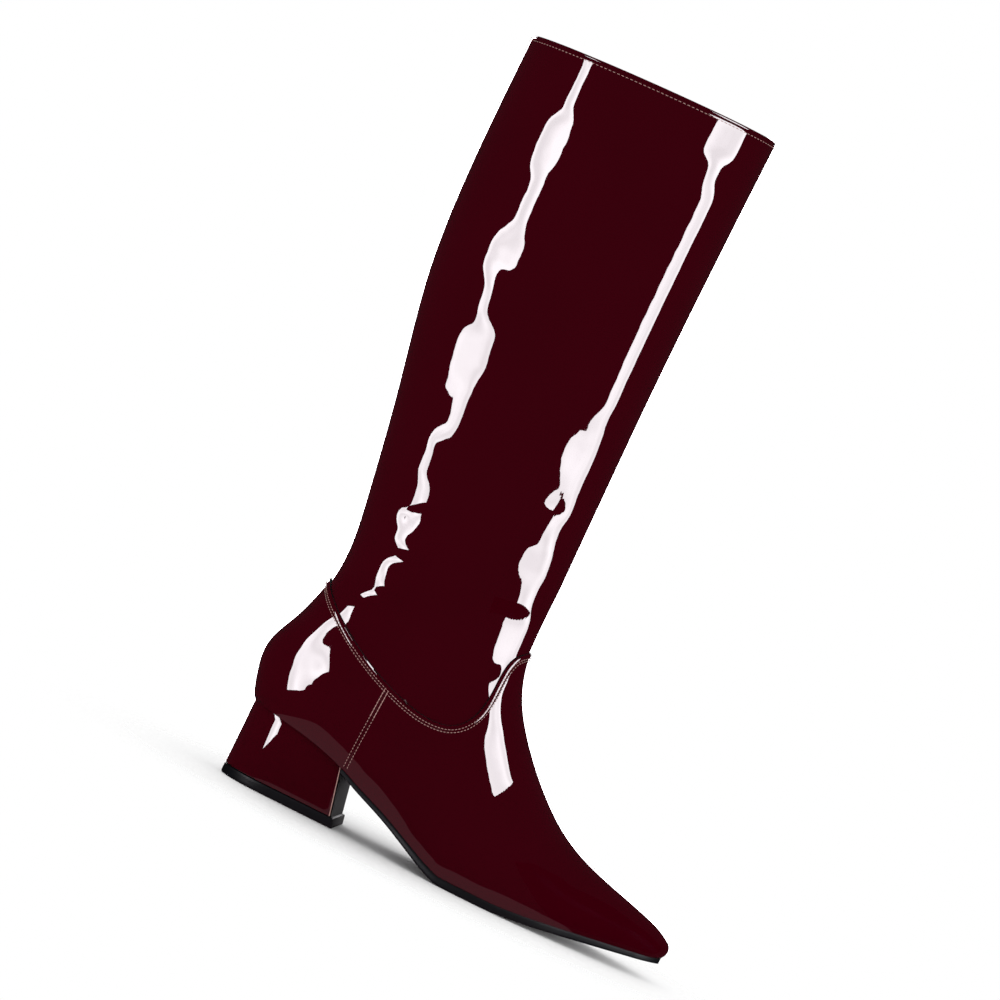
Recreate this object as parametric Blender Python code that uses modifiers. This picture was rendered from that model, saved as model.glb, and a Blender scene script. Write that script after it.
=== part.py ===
"""Right-foot knee boot: a patent upper with a half-length zip on its inner side, a block heel and a thin sole.

Run it with: blender --background --python part.py
The model is in metres with +Z up. +X points from heel to toe, and +Y to the inner side, where the zip is.
The origin is on the floor, under the middle of the boot's box.
"""

import math

import bmesh
import bpy
import numpy as np
from mathutils import Matrix, Vector

# Driving dimensions, in millimetres. In the tables x runs forward from the heel and z up from the floor.
MM = 0.001
TOE_X = 268.0
CALF_BACK_X = -17.0
CENTRE_X = (TOE_X + CALF_BACK_X) / 2
GAP = 0.3
WALL = 2.0
TOE_SWING = 4.0

FEATHER_HEEL_X = 4.5
FEATHER_TOE_X = 265.5
HEEL_RADIUS = 28.0
TOE_RADIUS = 12.0

SOLE_OVERHANG = 1.0
INSOLE_THICKNESS = 2.5
INSOLE_INSET = WALL + 0.7
INSOLE_TOE_X = FEATHER_TOE_X - 8.0

LIFT_HEIGHT = 5.5
LIFT_LEDGE = 1.5
HEEL_TOP_X = (FEATHER_HEEL_X + 0.5, 66.0)
HEEL_FLOOR_X = (7.0, 74.0)
HEEL_TOP_HALF = 28.0
HEEL_FLOOR_HALF = 27.0
BREAST_FACING = 1.2
SOLE_HEEL_X = HEEL_TOP_X[1] + 1.6

ZIP_HALF = 4.2
ZIP_SINK = 0.4
ZIP_THICKNESS = 1.4
SLIDER_BELOW_TOP = 9.0
SLIDER = {"length": 13.0, "width": 8.4, "height": 2.4}
BRIDGE = {"length": 7.4, "width": 3.4, "height": 3.0, "bar": 1.0}
PULL = {"width": 8.8, "thickness": 1.2, "hole": 5.4, "plate": 19.0, "pin": 0.6, "back": 0.65}

# Sections of the foot, open underneath: where each meets the ridge, where it meets the sole's edge, its largest
# half-widths on the outer and inner side, and how far, as a share of its length, it is fullest from its middle.
# The toe point is a section drawn together to one corner.
FOOT_COLUMNS = ("name", "front_x", "front_z", "edge_x", "full_out", "full_in", "skew")
FOOT_SECTIONS = [
    ("toe point", 265.5, 14.1, 265.5, 0.001, 0.001, -0.10),
    ("toe nose", 268.0, 18.6, 262.0, 7.6, 8.2, -0.10),
    ("toe top", 263.6, 24.2, 254.0, 14.4, 15.7, -0.10),
    ("toe box", 248.0, 30.6, 239.0, 21.5, 23.1, -0.12),
    ("toe root", 222.0, 37.9, 217.0, 30.0, 31.4, -0.14),
    ("ball", 193.0, 49.2, 188.0, 39.0, 37.9, -0.15),
    ("joint", 168.0, 68.2, 158.0, 41.8, 37.4, -0.15),
    ("instep", 149.0, 88.6, 127.0, 39.8, 34.6, -0.14),
    ("throat", 137.0, 106.4, 95.0, 37.0, 33.2, -0.14),
    ("short heel", 131.0, 123.5, 52.0, 35.6, 33.6, -0.16),
]
# Sections round the heel and up the shaft, closed at the back.
SHAFT_COLUMNS = ("name", "front_x", "front_z", "back_x", "back_z", "full_out", "full_in", "skew")
SHAFT_SECTIONS = [
    ("heel seat", 129.7, 137.0, FEATHER_HEEL_X, 45.2, 34.6, 33.4, -0.18),
    ("heel swell", 129.5, 150.0, -1.4, 64.0, 34.8, 33.8, -0.18),
    ("heel top", 129.7, 168.0, 5.2, 93.0, 35.6, 34.8, -0.15),
    ("ankle", 129.5, 188.0, 15.0, 125.0, 36.9, 36.2, -0.10),
    ("small of leg", 129.1, 216.0, 12.2, 169.0, 39.4, 38.8, -0.06),
    ("lower calf", 128.6, 252.0, 1.6, 229.0, 43.6, 43.0, -0.04),
    ("calf", 128.2, 302.0, -10.9, 292.0, 47.4, 46.9, -0.03),
    ("upper calf", 128.5, 356.0, -15.8, 350.0, 48.8, 48.6, -0.02),
    ("collar", 129.8, 440.0, -16.2, 436.0, 49.5, 49.5, -0.01),
]
# The sole's plan: half-widths of the feather line, before its ends are rounded.
PLAN_COLUMNS = ("x", "out", "in")
PLAN = [
    (4.5, 28.0, 28.0),
    (33.0, 28.5, 28.0),
    (60.0, 29.4, 27.0),
    (85.0, 30.6, 24.8),
    (105.0, 32.6, 24.7),
    (125.0, 36.2, 28.2),
    (145.0, 39.4, 32.8),
    (163.0, 40.5, 36.0),
    (180.0, 39.0, 37.2),
    (197.0, 35.6, 35.5),
    (215.0, 29.6, 30.8),
    (235.0, 22.4, 24.0),
    (252.0, 15.0, 16.4),
    (265.5, 9.4, 10.4),
]
# The feather line's height over the floor, and the sole's thickness under it from the heel's breast forward.
SEAT_COLUMNS = ("x", "height", "sole")
SEAT = [
    (4.5, 45.2, 2.6),
    (20.0, 43.6, 2.6),
    (40.0, 40.8, 2.6),
    (58.0, 36.6, 2.6),
    (67.0, 33.6, 2.6),
    (80.0, 28.4, 2.8),
    (100.0, 21.1, 3.2),
    (120.0, 12.7, 3.8),
    (132.0, 7.7, 4.2),
    (143.0, 4.7, 4.4),
    (172.0, 4.7, 4.4),
    (190.0, 5.8, 4.2),
    (210.0, 7.8, 4.0),
    (235.0, 10.7, 3.6),
    (255.0, 12.9, 3.2),
    (268.0, 14.4, 3.0),
]
# The zip's middle line on the inner side, from its top stop to its bottom stop.
ZIP_COLUMNS = ("x", "z")
ZIP_LINE = [(66.0, 261.0), (75.3, 175.0), (80.4, 121.0), (85.5, 80.4), (94.0, 41.5)]

STEPS_ALONG_FOOT = 4
STEPS_ROUND_HEEL = 9
STEPS_UP_SHAFT = 2
STEPS_PER_SIDE = 14
OUTER, INNER = -1, 1

COLOURS = {
    "patent": ((0.040, 0.0012, 0.0045, 1.0), 0.08, 0.0),
    "sole": ((0.010, 0.010, 0.012, 1.0), 0.45, 0.0),
    "insole": ((0.070, 0.012, 0.018, 1.0), 0.70, 0.0),
    "zip": ((0.090, 0.012, 0.022, 1.0), 0.60, 0.0),
    "slider": ((0.075, 0.006, 0.014, 1.0), 0.25, 0.6),
}


# Curves through the tables

def column(rows, columns, name):
    return np.array([row[columns.index(name)] for row in rows], float)


def spline(knots, values, from_rest=False):
    """Natural cubic spline through the values at the knots. From rest, it sets out with no speed."""
    count = len(knots)
    step = np.diff(knots)
    slope = np.diff(values) / step
    matrix = np.eye(count)
    right = np.zeros(count)
    for i in range(1, count - 1):
        matrix[i, i - 1 : i + 2] = step[i - 1], 2 * (step[i - 1] + step[i]), step[i]
        right[i] = 6 * (slope[i] - slope[i - 1])
    if from_rest:
        matrix[0, :2] = 2 * step[0], step[0]
        right[0] = 6 * slope[0]
    bend = np.linalg.solve(matrix, right)

    def at(t):
        i = int(np.clip(np.searchsorted(knots, t) - 1, 0, count - 2))
        after, before, h = knots[i + 1] - t, t - knots[i], step[i]
        return (
            (bend[i] * after**3 + bend[i + 1] * before**3) / (6 * h)
            + (values[i] / h - bend[i] * h / 6) * after
            + (values[i + 1] / h - bend[i + 1] * h / 6) * before
        )

    return at


def level_curve(knots, values, to_rest=False):
    """Cubic through the values that never overshoots, so that equal neighbours give a flat stretch."""
    step = np.diff(knots)
    slope = np.diff(values) / step
    tangent = np.concatenate([slope[:1], np.zeros(len(knots) - 2), slope[-1:]])
    for i in range(1, len(knots) - 1):
        if slope[i - 1] * slope[i] > 0:
            tangent[i] = 2 / (1 / slope[i - 1] + 1 / slope[i])
    if to_rest:
        tangent[-1] = 0.0

    def at(t):
        i = int(np.clip(np.searchsorted(knots, t) - 1, 0, len(step) - 1))
        h = step[i]
        u = np.clip((t - knots[i]) / h, 0.0, 1.0)
        return (
            values[i] * (1 + 2 * u) * (1 - u) ** 2
            + values[i + 1] * u**2 * (3 - 2 * u)
            + h * (tangent[i] * u * (1 - u) ** 2 - tangent[i + 1] * u**2 * (1 - u))
        )

    return at


PLAN_OUT = level_curve(column(PLAN, PLAN_COLUMNS, "x"), column(PLAN, PLAN_COLUMNS, "out"))
PLAN_IN = level_curve(column(PLAN, PLAN_COLUMNS, "x"), column(PLAN, PLAN_COLUMNS, "in"))
SEAT_HEIGHT = level_curve(column(SEAT, SEAT_COLUMNS, "x"), column(SEAT, SEAT_COLUMNS, "height"))
SOLE_THICKNESS = level_curve(column(SEAT, SEAT_COLUMNS, "x"), column(SEAT, SEAT_COLUMNS, "sole"))


def round_end(share):
    """Quarter circle from 0 at an outline's end to 1 where the round is over."""
    return math.sqrt(1 - (1 - min(max(share, 0.0), 1.0)) ** 2)


def plan_half(x, side, inset=0.0):
    """Half-width of the sole's plan at x, drawn in all round by the inset."""
    taper = (PLAN_OUT(x) if side == OUTER else PLAN_IN(x)) - inset
    heel = round_end((x - FEATHER_HEEL_X - inset) / (HEEL_RADIUS - inset))
    toe = round_end((FEATHER_TOE_X - inset - x) / (TOE_RADIUS - inset))
    return taper * heel * toe


def middle_line(x):
    """How far the boot's middle line swings to the inner side at x: the toe points a little inward."""
    u = min(max((x - 120.0) / (TOE_X - 120.0), 0.0), 1.0)
    return TOE_SWING * u * u * (3 - 2 * u)


def in_metres(x, y, z):
    return Vector((x - CENTRE_X, y + middle_line(x), z)) * MM


# The upper's form: sections that fan from the toe, round the heel and up the shaft

def shared_column(name):
    return np.concatenate([
        column(FOOT_SECTIONS, FOOT_COLUMNS, name), column(SHAFT_SECTIONS, SHAFT_COLUMNS, name)
    ])


HEEL_ROW = len(FOOT_SECTIONS)
FEATHER_X = np.append(column(FOOT_SECTIONS, FOOT_COLUMNS, "edge_x"), FEATHER_HEEL_X)
BACK_X = column(SHAFT_SECTIONS, SHAFT_COLUMNS, "back_x")
BACK_Z = column(SHAFT_SECTIONS, SHAFT_COLUMNS, "back_z")


def section_knots():
    """Running length along the fan: the mean of the steps at each section's two ends."""
    low_x = np.concatenate([FEATHER_X, BACK_X[1:]])
    low_z = np.concatenate([[SEAT_HEIGHT(x) for x in FEATHER_X], BACK_Z[1:]])
    low_steps = np.hypot(np.diff(low_x), np.diff(low_z))
    front_steps = np.hypot(np.diff(shared_column("front_x")), np.diff(shared_column("front_z")))
    return np.concatenate([[0.0], np.cumsum((low_steps + front_steps) / 2)])


KNOTS = section_knots()
SHARED = {
    name: spline(KNOTS, shared_column(name))
    for name in ("front_x", "front_z", "full_out", "full_in", "skew")
}
# The low end comes to rest at the heel's corner, where it turns up the back, so that the sides stay smooth there.
FEATHER_AT = level_curve(KNOTS[: HEEL_ROW + 1], FEATHER_X, to_rest=True)
BACK_X_AT = spline(KNOTS[HEEL_ROW:], BACK_X, from_rest=True)
BACK_Z_AT = spline(KNOTS[HEEL_ROW:], BACK_Z, from_rest=True)


def section_ends(t):
    """The section's low end, on the sole's edge or the back, and its front end, both as (x, z)."""
    front = np.array([SHARED["front_x"](t), SHARED["front_z"](t)])
    if t <= KNOTS[HEEL_ROW]:
        x = FEATHER_AT(t)
        return np.array([x, SEAT_HEIGHT(x)]), front
    return np.array([BACK_X_AT(t), BACK_Z_AT(t)]), front


def section_curve(t, side):
    """Half-width where section t is fullest, its skew, and the angle at which its egg-shaped curve sets out."""
    edge = plan_half(FEATHER_AT(t), side) if t < KNOTS[HEEL_ROW] else 0.0
    full = max(SHARED["full_out" if side == OUTER else "full_in"](t), edge)
    return full, SHARED["skew"](t), math.asin(edge / full)


def egg_share(angle, skew):
    """How far along its section an egg-shaped curve is at an angle from 0, its low end, to pi, its front."""
    return (1 - math.cos(angle)) / 2 + skew * math.sin(angle) ** 2


def upper_point(t, turn, side):
    """Point of the outer face on section t, at a share of the turn from its low end to its front."""
    full, skew, first = section_curve(t, side)
    angle = first + (math.pi - first) * turn
    begin = egg_share(first, skew)
    share = (egg_share(angle, skew) - begin) / (1 - begin)
    low, front = section_ends(t)
    x, z = low + (front - low) * share
    return in_metres(x, side * full * math.sin(angle), z)


def inner_side_point(x, z):
    """The point of the inner side that stands at (x, z) in a side view."""
    def beyond(t):
        low, front = section_ends(t)
        return (front[0] - low[0]) * (z - low[1]) - (front[1] - low[1]) * (x - low[0])

    before, after = KNOTS[1], KNOTS[-1]
    for _ in range(50):
        t = (before + after) / 2
        before, after = (t, after) if beyond(t) > 0 else (before, t)
    low, front = section_ends(t)
    share = np.dot(np.array([x, z]) - low, front - low) / np.dot(front - low, front - low)
    full, skew, first = section_curve(t, INNER)
    begin = egg_share(first, skew)
    wanted = begin + share * (1 - begin)
    low_angle, high_angle = first, math.pi
    for _ in range(50):
        angle = (low_angle + high_angle) / 2
        short = egg_share(angle, skew) < wanted
        low_angle, high_angle = (angle, high_angle) if short else (low_angle, angle)
    return in_metres(x, full * math.sin(angle), z)


# Helpers that make objects

def clear_scene():
    for obj in list(bpy.data.objects):
        bpy.data.objects.remove(obj)


def new_collection(name):
    collection = bpy.data.collections.new(name)
    bpy.context.scene.collection.children.link(collection)
    return collection


def new_material(name):
    colour, roughness, metallic = COLOURS[name]
    material = bpy.data.materials.new(name)
    material.use_nodes = True
    shader = material.node_tree.nodes["Principled BSDF"]
    shader.inputs["Base Color"].default_value = colour
    shader.inputs["Roughness"].default_value = roughness
    shader.inputs["Metallic"].default_value = metallic
    return material


def new_object(name, bm, material=None):
    """An object of the bmesh, with its faces turned outwards where it is closed."""
    mesh = bpy.data.meshes.new(name)
    bm.to_mesh(mesh)
    bm.free()
    mesh.shade_smooth()
    mesh.set_sharp_from_angle(angle=math.radians(35))
    if material:
        mesh.materials.append(material)
    obj = bpy.data.objects.new(name, mesh)
    (parts if material else cutters).objects.link(obj)
    if material:
        obj.parent = root
    else:
        obj.hide_render = True
        obj.display_type = "WIRE"
    return obj


def shaped_box(cuts, place):
    """A cube cut evenly along its three directions, with each corner put where place(u, v, w) says."""
    bm = bmesh.new()
    bmesh.ops.create_cube(bm, size=1.0, matrix=Matrix.Translation((0.5, 0.5, 0.5)))
    for axis, count in enumerate(cuts):
        normal = Vector((0, 0, 0))
        normal[axis] = 1
        for k in range(1, count):
            everything = bm.verts[:] + bm.edges[:] + bm.faces[:]
            bmesh.ops.bisect_plane(bm, geom=everything, plane_co=normal * k / count, plane_no=normal)
    for vert in bm.verts:
        vert.co = place(*vert.co)
    bmesh.ops.recalc_face_normals(bm, faces=bm.faces)
    return bm


def add_boolean(obj, other, operation):
    modifier = obj.modifiers.new(operation.lower(), "BOOLEAN")
    modifier.operation = operation
    modifier.object = other


# Upper: one hollow wall, open at the collar and under the foot

def section_stops():
    """Where sections are drawn along the fan: evenly between the tables' rows."""
    stops = []
    for row in range(len(KNOTS) - 1):
        steps = STEPS_ROUND_HEEL if row == HEEL_ROW - 1 else STEPS_ALONG_FOOT if row < HEEL_ROW else STEPS_UP_SHAFT
        stops += [KNOTS[row] + (KNOTS[row + 1] - KNOTS[row]) * k / steps for k in range(steps)]
    return stops + [KNOTS[-1]]


def upper_surface():
    """The upper's outer face: a grid bent from the outer edge, over the front, to the inner edge."""
    stops = section_stops()
    bm = bmesh.new()
    bmesh.ops.create_grid(bm, x_segments=2 * STEPS_PER_SIDE, y_segments=len(stops) - 1, size=0.5)
    for vert in bm.verts:
        across = vert.co.x * 2
        row = round((vert.co.y + 0.5) * (len(stops) - 1))
        side = OUTER if across < 0 else INNER
        vert.co = upper_point(stops[row], 1 - abs(across), side)
    bmesh.ops.remove_doubles(bm, verts=bm.verts, dist=1e-5)
    bmesh.ops.recalc_face_normals(bm, faces=bm.faces)
    highest = max(bm.faces, key=lambda face: face.calc_center_median().y)
    if highest.normal.y < 0:
        bmesh.ops.reverse_faces(bm, faces=bm.faces)
    return bm


def add_wall(obj, thickness):
    """Gives the open surface its thickness, inwards."""
    wall = obj.modifiers.new("wall", "SOLIDIFY")
    wall.thickness = thickness * MM
    wall.offset = -1
    wall.use_even_offset = True
    wall.thickness_clamp = 0


def zip_prism(half_width, shorter):
    """A band along the zip's line, standing through the inner wall."""
    line_z = column(ZIP_LINE[::-1], ZIP_COLUMNS, "z")
    line_x = spline(line_z, column(ZIP_LINE[::-1], ZIP_COLUMNS, "x"))
    low, high = line_z[0] + shorter, line_z[-1] - shorter

    def place(u, v, w):
        z = low + (high - low) * u
        return in_metres(line_x(z) + (2 * v - 1) * half_width, 8.0 + 60.0 * w, z)

    return shaped_box((24, 1, 1), place), line_x


def make_upper():
    upper = new_object("upper", upper_surface(), materials["patent"])
    add_wall(upper, WALL)
    bm, _ = zip_prism(ZIP_HALF, 0.0)
    add_boolean(upper, new_object("zip_slot_cutter", bm), "DIFFERENCE")


# Sole, insole and heel

def make_outsole():
    toe_x = FEATHER_TOE_X + SOLE_OVERHANG - 0.2

    def place(u, v, w):
        x = SOLE_HEEL_X + (toe_x - SOLE_HEEL_X) * u
        side = OUTER if v < 0.5 else INNER
        y = (2 * v - 1) * plan_half(x, side, -SOLE_OVERHANG)
        return in_metres(x, y, SEAT_HEIGHT(x) - GAP - SOLE_THICKNESS(x) * (1 - w))

    new_object("outsole", shaped_box((36, 8, 1), place), materials["sole"])


def make_insole():
    heel_x = FEATHER_HEEL_X + INSOLE_INSET + 0.2

    def place(u, v, w):
        x = heel_x + (INSOLE_TOE_X - heel_x) * (1 - math.cos(math.pi * u / 2)) ** 0.8
        side = OUTER if v < 0.5 else INNER
        y = (2 * v - 1) * plan_half(x, side, INSOLE_INSET)
        return in_metres(x, y, SEAT_HEIGHT(x) + INSOLE_THICKNESS * w)

    new_object("insole", shaped_box((36, 8, 1), place), materials["insole"])


def heel_edges(height):
    """Back x, breast x and half-width of the heel at a height over the floor, as on a straight taper."""
    up = (height - LIFT_HEIGHT) / (SEAT_HEIGHT(HEEL_TOP_X[1]) - LIFT_HEIGHT)
    back, breast = (floor + (top - floor) * up for floor, top in zip(HEEL_FLOOR_X, HEEL_TOP_X))
    return back, breast, HEEL_FLOOR_HALF + (HEEL_TOP_HALF - HEEL_FLOOR_HALF) * up


def heel_outline(u, v, height, ledge=0.0):
    """(x, y) in the heel's plan: round behind, straight at the sides and the breast."""
    back, breast, half = heel_edges(height)
    along = 0.002 + 0.998 * u**1.7
    x = back + (breast + ledge - back) * along
    return x, (2 * v - 1) * half * round_end((x - back) / half)


def make_heel_block():
    def place(u, v, w):
        x, y = heel_outline(u, v, LIFT_HEIGHT)
        foot = LIFT_HEIGHT + GAP
        for _ in range(3):
            height = foot + (SEAT_HEIGHT(x) - GAP - foot) * w
            x, y = heel_outline(u, v, height)
        return in_metres(x, y, height)

    new_object("heel_block", shaped_box((14, 8, 3), place), materials["patent"])


def make_heel_lift():
    def place(u, v, w):
        x, y = heel_outline(u, v, LIFT_HEIGHT, LIFT_LEDGE + BREAST_FACING)
        return in_metres(x, y, LIFT_HEIGHT * w)

    new_object("heel_lift", shaped_box((14, 8, 1), place), materials["sole"])


def make_heel_breast():
    """The facing of the heel's front, which closes its wrapped cover."""
    def place(u, v, w):
        foot = LIFT_HEIGHT + GAP
        top = SEAT_HEIGHT(SOLE_HEEL_X) - SOLE_THICKNESS(SOLE_HEEL_X) - 3 * GAP
        height = foot + (top - foot) * w
        _, breast, half = heel_edges(height)
        return in_metres(breast + GAP + BREAST_FACING * u, (2 * v - 1) * (half - 0.4), height)

    new_object("heel_breast", shaped_box((1, 6, 2), place), materials["sole"])


# Zip: the closed tape in its slot, the slider at its top and the hinged pull

def make_zip_tape():
    tape = new_object("zip_tape", upper_surface(), materials["zip"])
    sink = tape.modifiers.new("sink", "DISPLACE")
    sink.strength = -ZIP_SINK * MM
    sink.mid_level = 0.0
    add_wall(tape, ZIP_THICKNESS)
    bm, line_x = zip_prism(ZIP_HALF - GAP, GAP)
    add_boolean(tape, new_object("zip_tape_band", bm), "INTERSECT")
    return line_x


def slider_frame(line_x):
    """Axes at the slider: x along the zip downwards, y across it, z out of the boot."""
    z = ZIP_LINE[0][1] - SLIDER_BELOW_TOP
    here = inner_side_point(line_x(z), z)
    down = (inner_side_point(line_x(z - 8), z - 8) - inner_side_point(line_x(z + 8), z + 8)).normalized()
    across = inner_side_point(line_x(z) + 4, z) - inner_side_point(line_x(z) - 4, z)
    out = down.cross(across).normalized()
    if out.y < 0:
        out = -out
    across = out.cross(down).normalized()
    frame = Matrix((down, across, out)).transposed().to_4x4()
    frame.translation = here
    return frame


def box_mesh(low, high):
    def place(u, v, w):
        return Vector(a + (b - a) * k for a, b, k in zip(low, high, (u, v, w))) * MM

    return shaped_box((1, 1, 1), place)


def make_slider(frame):
    """Top plate of the slider with the bridge that holds the pull's pin."""
    base = GAP - ZIP_SINK
    top = base + SLIDER["height"]
    slider = new_object("zip_slider", box_mesh(
        (-SLIDER["length"] / 2, -SLIDER["width"] / 2, base), (SLIDER["length"] / 2, SLIDER["width"] / 2, top)
    ), materials["slider"])
    slider.matrix_world = frame
    soften = slider.modifiers.new("soft edges", "BEVEL")
    soften.width = 0.8 * MM
    soften.segments = 2
    half, bar = BRIDGE["length"] / 2, BRIDGE["bar"]
    arch = new_object("bridge", box_mesh(
        (-half, -BRIDGE["width"] / 2, top - 0.5), (half, BRIDGE["width"] / 2, top + BRIDGE["height"])
    ))
    passage = new_object("bridge_passage", box_mesh(
        (-half + bar, -BRIDGE["width"], top), (half - bar, BRIDGE["width"], top + BRIDGE["height"] - bar)
    ))
    for cutter in (arch, passage):
        cutter.matrix_world = frame
    add_boolean(slider, arch, "UNION")
    add_boolean(slider, passage, "DIFFERENCE")
    return top + (BRIDGE["height"] - bar) / 2


def make_pull(frame, pivot_height):
    """Pull tab: a pin under the bridge, two arms round it and a flat plate. Its origin is on the pin's axis."""
    half = PULL["width"] / 2
    thick = PULL["thickness"] / 2
    arm = half - BRIDGE["width"] / 2 - GAP - 0.2
    pivot = frame @ Matrix.Translation((0, 0, pivot_height * MM))
    down = pivot.to_3x3().inverted() @ Vector((0, 0, -1))
    hang = pivot @ Matrix.Rotation(math.atan2(-down.z, down.x), 4, "Y")
    pull = new_object("zip_pull", box_mesh((-PULL["back"], -half, -thick), (PULL["hole"] + PULL["plate"], half, thick)),
                      materials["slider"])
    pull.matrix_world = hang
    hole = new_object("pull_hole", box_mesh((-2.0, arm - half, -3.0), (PULL["hole"], half - arm, 3.0)))
    bm = bmesh.new()
    across = Matrix.Rotation(math.pi / 2, 4, "X")
    bmesh.ops.create_cone(bm, cap_ends=True, segments=12, radius1=PULL["pin"] * MM, radius2=PULL["pin"] * MM,
                          depth=(PULL["width"] - arm) * MM, matrix=across)
    pin = new_object("pull_pin", bm)
    for cutter in (hole, pin):
        cutter.matrix_world = hang
    add_boolean(pull, hole, "DIFFERENCE")
    add_boolean(pull, pin, "UNION")


clear_scene()
parts = new_collection("knee_boot")
cutters = new_collection("cutters")
root = bpy.data.objects.new("knee_boot_origin", None)
parts.objects.link(root)
materials = {name: new_material(name) for name in COLOURS}

make_upper()
make_outsole()
make_insole()
make_heel_block()
make_heel_lift()
make_heel_breast()
zip_line_x = make_zip_tape()
zip_frame = slider_frame(zip_line_x)
make_pull(zip_frame, make_slider(zip_frame))
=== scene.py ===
# %% [markdown]
# # A knee boot in patent leather
#
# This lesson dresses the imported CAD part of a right-foot knee boot: a shaft and a foot panel of lacquered
# leather, a half-length zip on the inner side, a wrapped block heel and a thin black sole. All sizes are
# in millimetres, with x forward from the heel, y to the inner side and z up from the floor. The last step
# of every piece turns them into the part's own frame in metres.

import math

import bmesh
import bpy
import numpy as np
from mathutils import Matrix, Vector


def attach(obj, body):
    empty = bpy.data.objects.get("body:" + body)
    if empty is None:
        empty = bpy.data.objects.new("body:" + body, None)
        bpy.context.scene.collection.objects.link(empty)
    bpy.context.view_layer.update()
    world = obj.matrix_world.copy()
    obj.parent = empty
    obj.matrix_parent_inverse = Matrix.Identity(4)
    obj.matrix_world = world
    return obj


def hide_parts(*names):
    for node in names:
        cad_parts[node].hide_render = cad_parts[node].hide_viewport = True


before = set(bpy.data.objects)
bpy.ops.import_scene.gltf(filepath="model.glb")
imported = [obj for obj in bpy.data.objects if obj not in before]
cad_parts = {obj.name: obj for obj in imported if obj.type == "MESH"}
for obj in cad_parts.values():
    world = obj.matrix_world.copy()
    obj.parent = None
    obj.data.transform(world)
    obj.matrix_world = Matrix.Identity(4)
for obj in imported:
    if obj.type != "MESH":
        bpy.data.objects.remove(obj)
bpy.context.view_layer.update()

# %% [markdown]
# ## The boot's form as numbers
#
# A last maker describes a boot by sections: where each one meets the sole's edge or the back, where it
# meets the front, and how wide it is in between. The same short tables made the CAD solid. Here they give
# the form at any fineness, so that a mirror-like skin shows no facets.

# %% Sizes and section tables
MM = 0.001
CENTRE_X = 125.5
TOE_X = 268.0
TOE_SWING, SWING_FROM_X = 4.0, 120.0
FEATHER_HEEL_X, FEATHER_TOE_X = 4.5, 265.5
HEEL_RADIUS, TOE_RADIUS = 28.0, 12.0
GAP = 0.3
OUTER, INNER = -1, 1

# ridge or front x, z; sole edge x; fullest half-width outside and inside; skew of the egg-shaped section
FOOT_SECTIONS = np.array([
    (265.5, 14.1, 265.5, 0.001, 0.001, -0.10),
    (268.0, 18.6, 262.0, 7.6, 8.2, -0.10),
    (263.6, 24.2, 254.0, 14.4, 15.7, -0.10),
    (248.0, 30.6, 239.0, 21.5, 23.1, -0.12),
    (222.0, 37.9, 217.0, 30.0, 31.4, -0.14),
    (193.0, 49.2, 188.0, 39.0, 37.9, -0.15),
    (168.0, 68.2, 158.0, 41.8, 37.4, -0.15),
    (149.0, 88.6, 127.0, 39.8, 34.6, -0.14),
    (137.0, 106.4, 95.0, 37.0, 33.2, -0.14),
    (131.0, 123.5, 52.0, 35.6, 33.6, -0.16),
])
# front x, z; back x, z; fullest half-width outside and inside; skew
SHAFT_SECTIONS = np.array([
    (129.7, 137.0, FEATHER_HEEL_X, 45.2, 34.6, 33.4, -0.18),
    (129.5, 150.0, -1.4, 64.0, 34.8, 33.8, -0.18),
    (129.7, 168.0, 5.2, 93.0, 35.6, 34.8, -0.15),
    (129.5, 188.0, 15.0, 125.0, 36.9, 36.2, -0.10),
    (129.1, 216.0, 12.2, 169.0, 39.4, 38.8, -0.06),
    (128.6, 252.0, 1.6, 229.0, 43.6, 43.0, -0.04),
    (128.2, 302.0, -10.9, 292.0, 47.4, 46.9, -0.03),
    (128.5, 356.0, -15.8, 350.0, 48.8, 48.6, -0.02),
    (129.8, 440.0, -16.2, 436.0, 49.5, 49.5, -0.01),
])
# plan of the sole's edge: x, half-width outside, half-width inside
PLAN = np.array([
    (4.5, 28.0, 28.0), (33.0, 28.5, 28.0), (60.0, 29.4, 27.0), (85.0, 30.6, 24.8), (105.0, 32.6, 24.7),
    (125.0, 36.2, 28.2), (145.0, 39.4, 32.8), (163.0, 40.5, 36.0), (180.0, 39.0, 37.2), (197.0, 35.6, 35.5),
    (215.0, 29.6, 30.8), (235.0, 22.4, 24.0), (252.0, 15.0, 16.4), (265.5, 9.4, 10.4),
])
# sole's edge: x, height of its top, thickness of the sole under it
SEAT = np.array([
    (4.5, 45.2, 2.6), (20.0, 43.6, 2.6), (40.0, 40.8, 2.6), (58.0, 36.6, 2.6), (67.0, 33.6, 2.6),
    (80.0, 28.4, 2.8), (100.0, 21.1, 3.2), (120.0, 12.7, 3.8), (132.0, 7.7, 4.2), (143.0, 4.7, 4.4),
    (172.0, 4.7, 4.4), (190.0, 5.8, 4.2), (210.0, 7.8, 4.0), (235.0, 10.7, 3.6), (255.0, 12.9, 3.2),
    (268.0, 14.4, 3.0),
])
print("sections", len(FOOT_SECTIONS), "in the foot and", len(SHAFT_SECTIONS), "in the shaft")

# %% [markdown]
# ## Curves through the tables
#
# A pattern maker draws such lines along a bent lath. Two kinds of cubic stand for it here: one bends as
# evenly as a lath, and the other never overshoots, which suits the sole, where long flat stretches meet
# short bends.

# %% Two kinds of curve


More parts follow.
